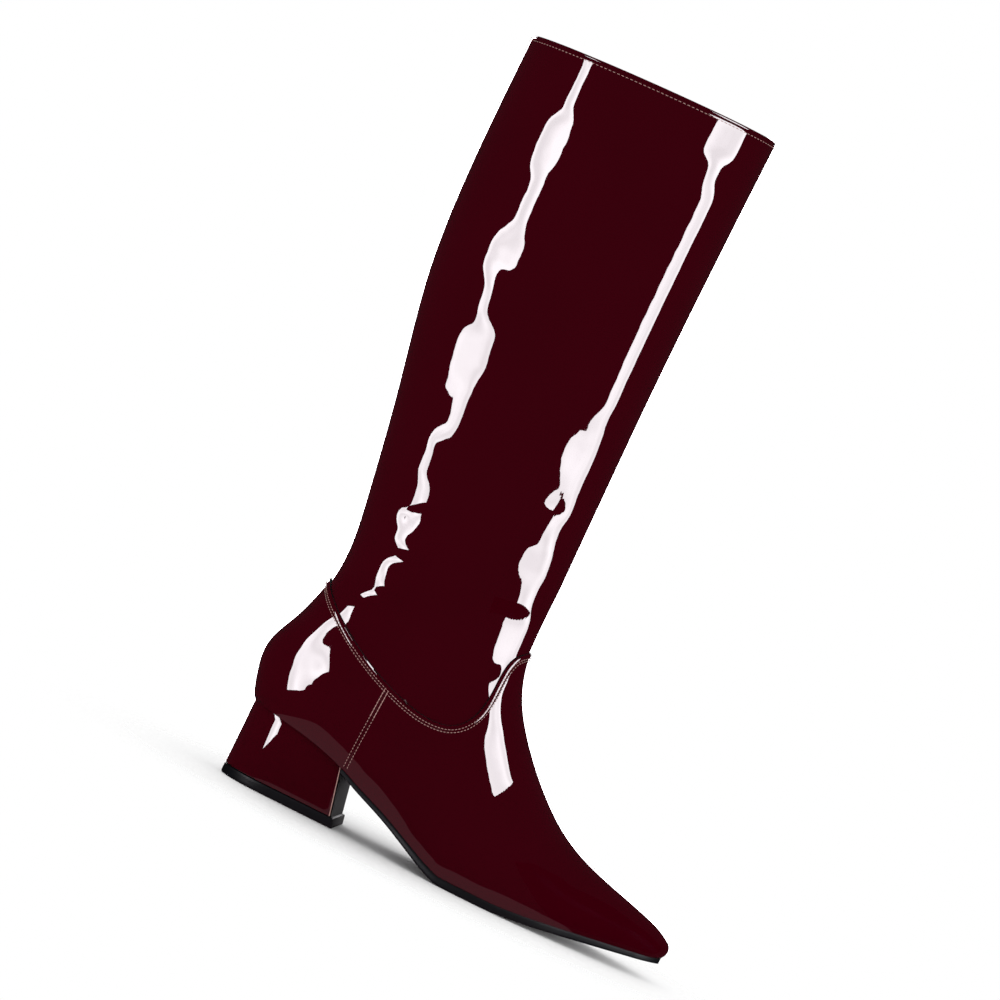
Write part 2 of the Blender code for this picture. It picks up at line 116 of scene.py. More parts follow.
def spline(knots, values, from_rest=False):
    """Natural cubic through the values at the knots. From rest, it sets out with no speed."""
    count = len(knots)
    step = np.diff(knots)
    slope = np.diff(values) / step
    matrix = np.eye(count)
    right = np.zeros(count)
    for i in range(1, count - 1):
        matrix[i, i - 1 : i + 2] = step[i - 1], 2 * (step[i - 1] + step[i]), step[i]
        right[i] = 6 * (slope[i] - slope[i - 1])
    if from_rest:
        matrix[0, :2] = 2 * step[0], step[0]
        right[0] = 6 * slope[0]
    bend = np.linalg.solve(matrix, right)

    def at(t):
        i = np.clip(np.searchsorted(knots, t) - 1, 0, count - 2)
        after, before, h = knots[i + 1] - t, t - knots[i], step[i]
        return (
            (bend[i] * after**3 + bend[i + 1] * before**3) / (6 * h)
            + (values[i] / h - bend[i] * h / 6) * after
            + (values[i + 1] / h - bend[i + 1] * h / 6) * before
        )

    return at


def level_curve(knots, values, to_rest=False):
    """Cubic through the values that never overshoots."""
    step = np.diff(knots)
    slope = np.diff(values) / step
    tangent = np.concatenate([slope[:1], np.zeros(len(knots) - 2), slope[-1:]])
    for i in range(1, len(knots) - 1):
        if slope[i - 1] * slope[i] > 0:
            tangent[i] = 2 / (1 / slope[i - 1] + 1 / slope[i])
    if to_rest:
        tangent[-1] = 0.0

    def at(t):
        i = np.clip(np.searchsorted(knots, t) - 1, 0, len(step) - 1)
        h = step[i]
        u = np.clip((t - knots[i]) / h, 0.0, 1.0)
        return (
            values[i] * (1 + 2 * u) * (1 - u) ** 2
            + values[i + 1] * u**2 * (3 - 2 * u)
            + h * (tangent[i] * u * (1 - u) ** 2 - tangent[i + 1] * u**2 * (1 - u))
        )

    return at


# %% The sole's plan and height
seat_height = level_curve(SEAT[:, 0], SEAT[:, 1])
sole_thickness = level_curve(SEAT[:, 0], SEAT[:, 2])
plan_outside = level_curve(PLAN[:, 0], PLAN[:, 1])
plan_inside = level_curve(PLAN[:, 0], PLAN[:, 2])


def ease(u):
    """A share from 0 to 1 that sets out and arrives gently."""
    return u * u * (3 - 2 * u)


def round_end(share):
    """Quarter of a circle, from 0 at the end of the sole to 1 where its round stretch is over."""
    return np.sqrt(1 - (1 - np.clip(share, 0.0, 1.0)) ** 2)


def plan_half(x, side, inset=0.0):
    """Half-width of the sole's plan at x on one side, drawn in all round by the inset."""
    taper = np.where(np.asarray(side) < 0, plan_outside(x), plan_inside(x)) - inset
    heel = round_end((x - FEATHER_HEEL_X - inset) / (HEEL_RADIUS - inset))
    toe = round_end((FEATHER_TOE_X - inset - x) / (TOE_RADIUS - inset))
    return taper * heel * toe


def swing(x):
    """How far the boot's middle line swings to the inner side at x."""
    return TOE_SWING * ease(np.clip((x - SWING_FROM_X) / (TOE_X - SWING_FROM_X), 0.0, 1.0))


print("sole's greatest width", max(PLAN[:, 1] + PLAN[:, 2]), "mm")

# %% [markdown]
# ## The skin as a function
#
# Any point of the upper is named by its section t, which runs from the toe round the heel and up to the
# collar, by its turn round the section from 0 at the back to 1 at the front, and by its side. In the
# foot, where sections stand on the sole, they set out at a turn above 0. Panels, stitches and the zip are
# all placed with these three, so they lie on one skin.

# %% Sections from the toe to the collar
edge_x = np.append(FOOT_SECTIONS[:, 2], FEATHER_HEEL_X)
front_xz = np.concatenate([FOOT_SECTIONS[:, :2], SHAFT_SECTIONS[:, :2]])
low_xz = np.concatenate([np.stack([edge_x, seat_height(edge_x)], 1), SHAFT_SECTIONS[1:, 2:4]])
widths = np.concatenate([FOOT_SECTIONS[:, 3:], SHAFT_SECTIONS[:, 4:]])
steps = np.linalg.norm(np.diff(low_xz, axis=0), axis=1) + np.linalg.norm(np.diff(front_xz, axis=0), axis=1)
knots = np.concatenate([[0.0], np.cumsum(steps / 2)])
HEEL_T, COLLAR_T = knots[len(FOOT_SECTIONS)], knots[-1]
front_x_at, front_z_at = (spline(knots, front_xz[:, k]) for k in range(2))
full_out_at, full_in_at, skew_at = (spline(knots, widths[:, k]) for k in range(3))
feather_at = level_curve(knots[: len(edge_x)], edge_x, to_rest=True)
shaft_knots = knots[len(FOOT_SECTIONS):]
back_x_at, back_z_at = (spline(shaft_knots, SHAFT_SECTIONS[:, k], from_rest=True) for k in (2, 3))


def section_ends(t):
    """Low end and front end of section t in the side view."""
    foot_x = feather_at(np.minimum(t, HEEL_T))
    shaft_t = np.maximum(t, HEEL_T)
    low_x = np.where(t < HEEL_T, foot_x, back_x_at(shaft_t))
    low_z = np.where(t < HEEL_T, seat_height(foot_x), back_z_at(shaft_t))
    return low_x, low_z, front_x_at(t), front_z_at(t)


def egg_share(angle, skew):
    """How far along its axis an egg-shaped section has come at an angle."""
    return (1 - np.cos(angle)) / 2 + skew * np.sin(angle) ** 2


def section_curve(t, side):
    """Fullest half-width of section t, its skew and the angle at which its curve sets out."""
    edge = np.where(t < HEEL_T, plan_half(feather_at(np.minimum(t, HEEL_T)), side), 0.0)
    full = np.maximum(np.where(np.asarray(side) < 0, full_out_at(t), full_in_at(t)), edge)
    return full, skew_at(t), np.arcsin(np.clip(edge / full, 0.0, 1.0))


def first_turn(t, side):
    """Turn at which section t sets out."""
    return section_curve(t, side)[2] / math.pi


def section_point(t, turn, side):
    """Points of the sections as the tables give them, in millimetres."""
    low_x, low_z, front_x, front_z = section_ends(t)
    full, skew, first = section_curve(t, side)
    angle = math.pi * turn
    begin = egg_share(first, skew)
    share = (egg_share(angle, skew) - begin) / (1 - begin)
    x = low_x + (front_x - low_x) * share
    z = low_z + (front_z - low_z) * share
    return np.stack([x, side * full * np.sin(angle) + swing(x), z], -1)


print("sections run from 0 to", round(COLLAR_T, 1), "mm, and the heel's corner is at", round(HEEL_T, 1))

# %% Plain skin and its normals
# near the heel's corner: how far along the sections and above the sole the averaging fades, and its step
BLEND_RUN, BLEND_RISE, BLEND_STEP = 34.0, 14.0, 7.5
BLEND_SHARES = (-1.5, 0.1), (-0.75, 0.23), (0.0, 0.34), (0.75, 0.23), (1.5, 0.1)
STEP_T, STEP_TURN = 0.4, 0.004
# the toe's tip is a point, so its normals are taken just behind it
FIRST_T = 0.5


def smooth_skin(t, turn, side):
    """Points of the upper's plain form. Close to the heel's corner neighbouring sections are averaged,
    because the curve of the sections changes abruptly there and a mirror finish would show it."""
    t, turn, side = np.broadcast_arrays(t, turn, side)
    points = section_point(t, turn, side)
    near = np.clip(1 - np.abs(t - HEEL_T) / BLEND_RUN, 0.0, 1.0)
    above = np.clip((points[..., 2] - seat_height(points[..., 0])) / BLEND_RISE, 0.0, 1.0)
    band = near * above > 0
    reach = BLEND_STEP * (ease(near) * ease(above))[band]
    points[band] = sum(
        share * section_point(t[band] + reach * k, turn[band], side[band]) for k, share in BLEND_SHARES)
    return points


def tangents(t, turn, side, skin):
    """How the skin moves for a small step of t and of turn."""
    before, after = np.clip(t - STEP_T, 0.0, COLLAR_T), np.clip(t + STEP_T, 0.0, COLLAR_T)
    along = (skin(after, turn, side) - skin(before, turn, side)) / (after - before)[..., None]
    around = (skin(t, turn + STEP_TURN, side) - skin(t, turn - STEP_TURN, side)) / (2 * STEP_TURN)
    return along, around


def normals(t, turn, side, skin):
    """Outward normals of the skin."""
    t = np.maximum(t, FIRST_T)
    along, around = tangents(t, turn, side, skin)
    normal = np.cross(along, around)
    low_x, low_z, front_x, front_z = section_ends(t)
    middle = np.stack([(low_x + front_x) / 2, np.zeros_like(low_x), (low_z + front_z) / 2], -1)
    outward = np.sign(np.sum(normal * (skin(t, turn, side) - middle), -1))
    length = np.maximum(np.linalg.norm(normal, axis=-1), 1e-9)
    return normal * (outward / length)[..., None]


collar_front = smooth_skin(np.array([COLLAR_T]), np.array([1.0]), OUTER)[0]
print("front of the collar", collar_front.round(1))

# %% [markdown]
# ## Places from the side view
#
# Seams, creases and the zip are drawn in the side view, as on a maker's pattern. To put them on the skin,
# the section and the turn that stand at a point of that view are searched for by halving, then made exact
# in a few small steps.

# %% Find a place on the skin
HALVINGS, CORRECTIONS = 45, 8
# a little stiffness keeps the steps short where the skin is seen edge-on
STIFF_T, STIFF_TURN = 0.001, 1.0
LONGEST_T, LONGEST_TURN = 1.5, 0.03


def small_step(along, around, vector):
    """Steps of t and turn that go furthest along a short vector."""
    aa, ab, bb = (np.sum(p * q, -1) for p, q in ((along, along), (along, around), (around, around)))
    av, bv = np.sum(along * vector, -1), np.sum(around * vector, -1)
    aa, bb = aa + STIFF_T, bb + STIFF_TURN
    det = aa * bb - ab**2
    step_t = np.clip((bb * av - ab * bv) / det, -LONGEST_T, LONGEST_T)
    step_turn = np.clip((aa * bv - ab * av) / det, -LONGEST_TURN, LONGEST_TURN)
    return step_t, step_turn


def share_of(t, turn, side):
    """How far along a section a turn lies in the side view, from 0 at its low end to 1 at the front."""
    _, skew, first = section_curve(t, side)
    begin = egg_share(first, skew)
    return (egg_share(math.pi * turn, skew) - begin) / (1 - begin)


def turn_of(t, share, side):
    """Turn that lies at a share of section t."""
    _, skew, first = section_curve(t, side)
    begin = egg_share(first, skew)
    wanted = begin + np.clip(share, 0.0, 1.0) * (1 - begin)
    before, after = first.copy(), np.full_like(first, math.pi)
    for _ in range(HALVINGS):
        angle = (before + after) / 2
        short = egg_share(angle, skew) < wanted
        before, after = np.where(short, angle, before), np.where(short, after, angle)
    return angle / math.pi


def find(x, z, side):
    """Section and turn of the skin's point that stands at (x, z) in the side view."""
    x, z = np.asarray(x, float), np.asarray(z, float)
    before, after = np.full_like(x, knots[1]), np.full_like(x, COLLAR_T)
    for _ in range(HALVINGS):
        t = (before + after) / 2
        low_x, low_z, front_x, front_z = section_ends(t)
        beyond = (front_x - low_x) * (z - low_z) - (front_z - low_z) * (x - low_x) > 0
        before, after = np.where(beyond, t, before), np.where(beyond, after, t)
    low_x, low_z, front_x, front_z = section_ends(t)
    across = np.stack([front_x - low_x, front_z - low_z])
    share = ((x - low_x) * across[0] + (z - low_z) * across[1]) / np.sum(across**2, 0)
    turn = turn_of(t, share, side)
    for _ in range(CORRECTIONS):
        missing = np.stack([x, z], -1) - smooth_skin(t, turn, side)[..., [0, 2]]
        along, around = tangents(t, turn, side, smooth_skin)
        steps = small_step(along[..., [0, 2]], around[..., [0, 2]], missing)
        t, turn = t + steps[0], np.clip(turn + steps[1], 0.0, 1.0)
    return t, turn


ANKLE_X, ANKLE_Z = 70.0, 150.0
ankle = smooth_skin(*find([ANKLE_X], [ANKLE_Z], OUTER), OUTER)[0]
print("looked for x", ANKLE_X, "and z", ANKLE_Z, "and found", ankle.round(2))

# %% [markdown]
# ## Creases
#
# A lacquered skin shows every dent, because its highlights bend with it. An empty boot sags a little at
# the ankle and keeps soft dents up its sides. Sculpting them would need a tool in the hand, so each
# crease here is a stroke of a soft tool in numbers: a line in the side view, how wide the stroke is, and
# how far it pushes the leather out, or in where the number is negative.

# %% Creases placed in the side view
# middle x, z; half length; lean in degrees; width; push outwards
CALF_CREASES = [
    (24, 420, 10, 90, 8, 0.5),
    (26, 388, 10, 90, 10, -0.5),
    (16, 352, 10, 90, 10, -0.6),
    (29, 321, 3, 90, 11, -0.9),
    (29, 296, 6, 90, 8, 0.5),
    (33, 267, 6, 100, 13, -1.3),
    (32, 236, 8, 90, 9, -0.7),
    (33, 204, 6, 90, 8, 1.1),
]
ANKLE_CREASES = [
    (52, 177, 12, 25, 5, -1.4),
    (44, 157, 13, 5, 5, 0.9),
    (44, 147, 13, 0, 5, -0.9),
    (42, 124, 13, 0, 6.5, -2.2),
]
COUNTER_CREASES = [
    (48, 92, 10, 72, 14, 2.8),
    (30, 90, 10, 72, 9, -0.3),
    (10, 84, 10, 75, 9, -0.6),
]
SHIN_CREASES = [
    (107, 430, 6, 90, 10, -1.0),
    (107, 408, 6, 80, 5, 0.35),
    (101, 335, 60, 90, 9, -0.6),
    (117, 335, 60, 90, 8, 0.6),
    (108, 250, 3, 100, 10, -1.0),
    (109, 226, 8, 90, 10, -0.9),
    (104, 206, 8, 30, 5, -0.8),
    (112, 179, 3, 90, 9, -0.9),
    (119, 128, 14, 94, 9, -1.0),
]
VAMP_CREASES = [(143, 71, 14, -55, 9, -0.9)]
CREASES = CALF_CREASES + ANKLE_CREASES + COUNTER_CREASES + SHIN_CREASES + VAMP_CREASES
# the inner side creases in the same places, but less, because the zip stiffens it
INNER_SHARE = 0.5
# distance from the boot's middle plane over which creases grow to their full depth
CREASE_FADE = 14.0


def relief(points, side):
    """How far the creases push each point of the skin outwards. They die away at the front and the back."""
    push = np.zeros(len(points))
    for x, z, half, lean, width, depth in CREASES:
        c, s = math.cos(math.radians(lean)), math.sin(math.radians(lean))
        dx, dz = points[:, 0] - x, points[:, 2] - z
        along = dx * c + dz * s
        over = along - np.clip(along, -half, half)
        push += depth * np.exp(-(over**2 + (dz * c - dx * s) ** 2) / width**2)
    away = np.clip(np.abs(points[:, 1] - swing(points[:, 0])) / CREASE_FADE, 0.0, 1.0)
    return push * ease(away) * np.where(np.asarray(side) == INNER, INNER_SHARE, 1.0)


def skin(t, turn, side):
    """Points of the creased leather's outer face."""
    points = smooth_skin(t, turn, side)
    flat = points.reshape(-1, 3)
    push = relief(flat, np.broadcast_to(side, points.shape[:-1]).reshape(-1)).reshape(points.shape[:-1])
    return points + normals(t, turn, side, smooth_skin) * push[..., None]


def raised(t, turn, side, height):
    """Points that stand over the leather by a height."""
    return skin(t, turn, side) + normals(t, turn, side, skin) * np.asarray(height)[..., None]


def in_metres(points):
    """Millimetres of the tables to the part's own frame."""
    return (np.asarray(points) - (CENTRE_X, 0.0, 0.0)) * MM


print("creases", len(CREASES))

# %% [markdown]
# ## Colours and nodes
#
# Colours are read off as sRGB hex values, the way a picture shows them, and shaders need linear light.
# One helper adds a node with its settings and links, so that each material reads from top to bottom.

# %% Helpers for materials


def linear(hex_colour):
    """sRGB hex to linear RGBA."""
    parts = [int(hex_colour[i : i + 2], 16) / 255 for i in (1, 3, 5)]
    return tuple(c / 12.92 if c <= 0.04045 else ((c + 0.055) / 1.055) ** 2.4 for c in parts) + (1.0,)


def set_inputs(owner, node, inputs):
    """Sets constants on a node's own sockets and links the inputs that are given as (node, output name)."""
    for name, value in inputs.items():
        if isinstance(value, tuple) and isinstance(value[0], bpy.types.Node):
            owner.node_tree.links.new(value[0].outputs[value[1]], node.inputs[name])
        else:
            node.inputs[name].default_value = value


def add_node(owner, kind, settings=None, inputs=None):
    """Adds a node to a material, a light or the world, with its settings and links."""
    node = owner.node_tree.nodes.new(kind)
    for name, value in (settings or {}).items():
        setattr(node, name, value)
    set_inputs(owner, node, inputs or {})
    return node


def new_material(name):
    """A material with its shader node."""
    material = bpy.data.materials.new(name)
    material.use_nodes = True
    return material, material.node_tree.nodes["Principled BSDF"]


def per_metre(size_mm):
    """Noise scale that gives a grain of this size on Object coordinates in metres."""
    return 1.0 / (size_mm * MM)


def mottled(material, size_mm, detail, dark, light):
    """Two tones in spots of a size in millimetres. Returns the spots' noise and the mixed colour."""
    place = add_node(material, "ShaderNodeTexCoord")
    spots = add_node(material, "ShaderNodeTexNoise", inputs={
        "Vector": (place, "Object"), "Scale": per_metre(size_mm), "Detail": detail})
    colour = add_node(material, "ShaderNodeMix", {"data_type": "RGBA"}, {
        "Factor": (spots, "Fac"), "A": linear(dark), "B": linear(light)})
    return spots, colour


print("pure white in linear light", linear("#FFFFFF"))

# %% [markdown]
# ## Patent leather
#
# Patent leather is split leather with a thick, clear, coloured lacquer. The colour sits under the lacquer
# and is almost matte; the lacquer on top is a mirror with a faint orange peel where it dried. A single
# glossy shader would tint the highlights, so this one has a dark red base and a full clear coat, and a
# very shallow waviness bends the highlights a little.

# %% Patent leather


def make_patent():
    # the eye gets a deep, even red and sharp white highlights with soft edges
    material, shader = new_material("patent_leather_lacquered")
    _, colour = mottled(material, 60.0, 2.0, "#310008", "#36000A")
    place = add_node(material, "ShaderNodeTexCoord")
    peel = add_node(material, "ShaderNodeTexNoise", inputs={
        "Vector": (place, "Object"), "Scale": per_metre(9.0), "Detail": 1.0, "Roughness": 0.4})
    wavy = add_node(material, "ShaderNodeBump", inputs={
        "Height": (peel, "Fac"), "Strength": 1.0, "Distance": 0.00005})
    set_inputs(material, shader, {
        "Base Color": (colour, "Result"), "Roughness": 0.5, "Specular IOR Level": 0.0,
        "Coat Weight": 1.0, "Coat Roughness": 0.015, "Coat IOR": 1.6,
        "Normal": (wavy, "Normal"), "Coat Normal": (wavy, "Normal")})
    return material


patent = make_patent()
print("material", patent.name)

# %% [markdown]
# ## Lining, sole and thread
#
# Inside, such boots have a thin dyed textile lining. The sole and the heel's top piece are black moulded
# rubber with a satin edge. The thread is a waxed polyester, a good deal lighter than the leather.
# Photographs of cloth could give these finishes too; noise is used because it fits any size and needs no
# file.

# %% Lining, rubber and thread


def make_lining():
    # dull and soft, with a faint bloom; the weave is drawn at 0.8 mm, coarser than real, so that it shows
    material, shader = new_material("lining_brushed_textile")
    weave, colour = mottled(material, 0.8, 3.0, "#3A1216", "#56232A")
    nap = add_node(material, "ShaderNodeBump", inputs={
        "Height": (weave, "Fac"), "Strength": 0.4, "Distance": 0.0002})
    set_inputs(material, shader, {
        "Base Color": (colour, "Result"), "Roughness": 0.85, "Normal": (nap, "Normal"), "Sheen Weight": 0.2})
    return material


def make_rubber():
    # bluish black with a satin sheen that is broken up by the mould's grit
    material, shader = new_material("rubber_moulded_black")
    grit, colour = mottled(material, 1.2, 4.0, "#07080D", "#0B0D15")
    rough = add_node(material, "ShaderNodeMapRange", inputs={
        "Value": (grit, "Fac"), "To Min": 0.34, "To Max": 0.46})
    fine = add_node(material, "ShaderNodeBump", inputs={
        "Height": (grit, "Fac"), "Strength": 0.25, "Distance": 0.0001})
    set_inputs(material, shader, {
        "Base Color": (colour, "Result"), "Roughness": (rough, "Result"), "Specular IOR Level": 0.18,
        "Normal": (fine, "Normal")})
    return material


def make_thread():
    # pale pink with a dull shine; the twist is drawn at 0.5 mm, coarser than real, so that it shows
    material, shader = new_material("thread_waxed_polyester")
    _, colour = mottled(material, 0.5, 1.0, "#8C5C58", "#B48A82")
    set_inputs(material, shader, {"Base Color": (colour, "Result"), "Roughness": 0.5})
    return material


lining, rubber, thread = make_lining(), make_rubber(), make_thread()
print("materials", [m.name for m in (patent, lining, rubber, thread)])

# %% [markdown]
# ## Panels on the skin
#
# The boot is sewn from a shaft and a foot panel whose top edge dips at the sides and rises to a tongue in
# front. Cutting both out of one mesh would leave ragged edges, so each panel is a grid of its own, bent
# onto the skin: its columns run round the boot, from the back over one side to the front and on over the
# other side, and its rows run from its lower edge to its upper edge.

# %% Where the panels meet
# side-view points of the foot panel's top edge, from the back to the front
PANEL_EDGE = np.array([
    (21.5, 114.0), (42.0, 99.5), (63.0, 87.6), (83.0, 80.3), (103.0, 77.6), (113.0, 80.2), (120.0, 88.0),
    (123.0, 100.0), (123.5, 113.0), (126.0, 127.0),
])
PANEL_EDGE_BACK_Z, PANEL_EDGE_FRONT_Z = 120.5, 131.5
# sections before the heel's corner from which the edge's front end is searched for
FRONT_SEARCH = 60.0
# numbers of places at which a curve is measured
FINE, FINEST, COLLAR_PLACES, FEATHER_PLACES = 700, 4000, 400, 800


def running_length(points):
    """Length of a chain of points up to each of them."""
    return np.concatenate([[0.0], np.cumsum(np.linalg.norm(np.diff(points, axis=0), axis=1))])


def evenly(points, *columns):
    """Functions of a share from 0 to 1 of the running length of points, one for each column of values."""
    share = running_length(points)
    share = share / share[-1]
    return [lambda c, column=column: np.interp(c, share, column) for column in columns]


def panel_edge(side):
    """Section and turn along the foot panel's top edge, as functions of a share from back to front."""
    levels = np.linspace(HEEL_T, COLLAR_T, FINEST)
    back_t = np.interp(PANEL_EDGE_BACK_Z, back_z_at(levels), levels)
    levels = np.linspace(HEEL_T - FRONT_SEARCH, COLLAR_T, FINEST)
    front_t = np.interp(PANEL_EDGE_FRONT_Z, front_z_at(levels), levels)
    ends = [(back_x_at(back_t), PANEL_EDGE_BACK_Z), (front_x_at(front_t), PANEL_EDGE_FRONT_Z)]
    points = np.concatenate([ends[:1], PANEL_EDGE, ends[1:]])
    share = running_length(points)
    fine = np.linspace(0, share[-1], FINE)
    t, turn = find(*(spline(share, points[:, k])(fine) for k in range(2)), side)
    t[0], turn[0], t[-1], turn[-1] = back_t, 0.0, front_t, 1.0
    return evenly(smooth_skin(t, turn, side), t, turn)


def step_on_skin(t, turn, side, vector):
    """Section and turn of the place that lies a short vector away on the skin, found in small steps."""
    wanted = smooth_skin(t, turn, side) + vector
    for _ in range(CORRECTIONS):
        missing = wanted - smooth_skin(t, turn, side)
        steps = small_step(*tangents(t, turn, side, smooth_skin), missing)
        t, turn = t + steps[0], turn + steps[1]
    return t, turn


edge_of = {side: panel_edge(side) for side in (OUTER, INNER)}
for side in (OUTER, INNER):
    both = np.array([0.0, 1.0])
    ends = smooth_skin(edge_of[side][0](both), edge_of[side][1](both), side)
    print("panel edge from", ends[0].round(1), "to", ends[1].round(1))

# %% Bend a grid onto the skin
# corners closer than this are one corner, in metres
MERGE = 2e-6


def skin_panel(columns, rows, chart, height):
    """A grid placed on the skin by chart(c, r, side), with c from back to front and r from low to high."""
    bm = bmesh.new()
    bmesh.ops.create_grid(bm, x_segments=2 * columns, y_segments=rows, size=0.5)
    at = np.array([vert.co[:] for vert in bm.verts])
    across, up = at[:, 0] * 2, at[:, 1] + 0.5
    side = np.where(across < 0, OUTER, INNER)
    t, turn = chart(1 - np.abs(across), up, side)
    placed = in_metres(raised(t, turn, side, np.full(len(t), height)))
    for vert, co in zip(bm.verts, placed):
        vert.co = co
    bmesh.ops.remove_doubles(bm, verts=bm.verts, dist=MERGE)
    bmesh.ops.recalc_face_normals(bm, faces=bm.faces)
    widest = max(bm.faces, key=lambda face: face.calc_center_median().y)
    if widest.normal.y < 0:
        bmesh.ops.reverse_faces(bm, faces=bm.faces)
    return bm


def relax(bm, x_range, z_range, rounds=14):
    """Evens out a grid inside a window of the side view, where its columns crowd. Its edge stays."""
    inside = [vert for vert in bm.verts if not vert.is_boundary
              and x_range[0] < vert.co.x / MM + CENTRE_X < x_range[1]
              and z_range[0] < vert.co.z / MM < z_range[1]]
    for _ in range(rounds):
        bmesh.ops.smooth_vert(bm, verts=inside, factor=0.5,
                              use_axis_x=True, use_axis_y=True, use_axis_z=True)
    return bm


def finish_piece(name, bm, materials, body="boot", replaces=(), sharp=40):
    """Turns a bmesh into an object that rides on a body of the part."""
    mesh = bpy.data.meshes.new(name)
    bm.to_mesh(mesh)
    bm.free()
    mesh.shade_smooth()
    mesh.set_sharp_from_angle(angle=math.radians(sharp))
    for material in materials:
        mesh.materials.append(material)
    piece = bpy.data.objects.new(name, mesh)
    bpy.context.scene.collection.objects.link(piece)
    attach(piece, body)
    if replaces:
        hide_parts(*replaces)
    print(name, len(mesh.polygons), "faces")
    return piece


def give_wall(piece, thickness):
    """Thickness inwards, with the lining on the inner face."""
    wall = piece.modifiers.new("wall", "SOLIDIFY")
    wall.thickness = thickness * MM
    wall.offset = -1
    wall.material_offset = 1
    return piece


def on_edge(c, side):
    """Panel edge at share c on either side."""
    t = np.where(side < 0, edge_of[OUTER][0](c), edge_of[INNER][0](c))
    turn = np.where(side < 0, edge_of[OUTER][1](c), edge_of[INNER][1](c))
    return t, turn


# %% Shaft
# the shaft's wall, how far it reaches under the foot panel, and about how tall it is above the panel's edge
SHAFT_WALL, SHAFT_UNDER, SHAFT_RUN = 2.0, 3.0, 320.0
SHAFT_COLUMNS, SHAFT_ROWS = 90, 170
# window of the side view, x and z, where the columns of both panels crowd
CROWDED = (58.0, 99.0), (68.0, 97.0)
collar_turns = {}
for side in (OUTER, INNER):
    turns = np.linspace(0, 1, COLLAR_PLACES)
    rim = smooth_skin(np.full(COLLAR_PLACES, COLLAR_T), turns, side)
    collar_turns[side] = evenly(rim, turns)[0]


def shaft_chart(c, r, side):
    """Rows run evenly from just under the foot panel's edge to the collar."""
    low_t, low_turn = on_edge(c, side)
    high_turn = np.where(side < 0, collar_turns[OUTER](c), collar_turns[INNER](c))
    under = SHAFT_UNDER / SHAFT_RUN
    share = -under + (1 + under) * r
    turn = np.clip(low_turn + (high_turn - low_turn) * share, 0.0, 1.0)
    return low_t + (COLLAR_T - low_t) * share, turn


shaft_grid = relax(skin_panel(SHAFT_COLUMNS, SHAFT_ROWS, shaft_chart, 0.0), *CROWDED)
shaft = finish_piece("shaft", shaft_grid, [patent, lining], replaces=["upper"])
give_wall(shaft, SHAFT_WALL)

# %% [markdown]
# ## Foot panel
#
# One piece of leather is pulled over the last from the heel to the toe, so its columns cannot all stand
# upright. Its low edge follows the sole's edge to the toe, and the columns of the last quarter fan out
# from the toe's tip.

# %% Foot panel
# the panel's leather, and the air between it and the shaft under it
PANEL_THICKNESS, PANEL_AIR = 1.0, 0.05
PANEL_COLUMNS, PANEL_ROWS = 190, 96
# share of the columns that end at the toe's tip, and how their spacing grows
TOE_FAN, FAN_POWER, LOW_POWER = 0.25, 1.3, 1.25
# the rows' first angle, as a share of half a turn, and the run of sections over which it comes in
ROW_START, ROW_RUN = 0.3, 60.0
TIP_T = 0.05
feather_of = {}
for side in (OUTER, INNER):
    levels = np.linspace(HEEL_T, TIP_T, FEATHER_PLACES)
    feather_of[side] = evenly(smooth_skin(levels, first_turn(levels, side), side), levels)[0]


def on_feather(c, side):
    """Section of the foot panel's low edge at share c from the heel to the toe."""
    return np.where(side < 0, feather_of[OUTER](c), feather_of[INNER](c))


def row_start(t):
    """Angle from which rows are counted: 0 up the back, and more along the sole, where the skin is steep."""
    return ROW_START * math.pi * ease(np.clip((HEEL_T - t) / ROW_RUN, 0.0, 1.0))


def foot_chart(c, r, side):
    """Rows run from the sole's edge, or from the toe's tip, to the panel's top edge."""
    edge_t, edge_turn = on_edge(c, side)
    start = np.cos(row_start(edge_t))
    angle = np.arccos(np.clip(start - share_of(edge_t, edge_turn, side) * (1 + start), -1.0, 1.0))
    edge_row = (angle - row_start(edge_t)) / (math.pi - row_start(edge_t))
    low = 1 - (1 - np.clip(c / (1 - TOE_FAN), 0.0, 1.0)) ** LOW_POWER
    fan = np.clip((c - 1 + TOE_FAN) / TOE_FAN, 0.0, 1.0) ** FAN_POWER
    low_t = np.where(fan > 0, 0.0, on_feather(low, side))
    t = low_t + (edge_t - low_t) * r
    start = row_start(t)
    angle = start + (math.pi - start) * (fan + (edge_row - fan) * r)
    return t, turn_of(t, (np.cos(start) - np.cos(angle)) / (1 + np.cos(start)), side)


foot_grid = relax(skin_panel(PANEL_COLUMNS, PANEL_ROWS, foot_chart, PANEL_THICKNESS), *CROWDED)
foot = finish_piece("foot_panel", foot_grid, [patent, lining])
give_wall(foot, PANEL_THICKNESS - PANEL_AIR)

# %% [markdown]
# ## Lines on the skin
#
# Seams, stitches and edges all follow lines on the leather. A line is kept as sections and turns, with an
# even step, so it can be moved sideways by a few millimetres and still lie on the creased skin. Below the
# foot panel's edge it lies on the panel, which stands one leather higher.

# %% Lines


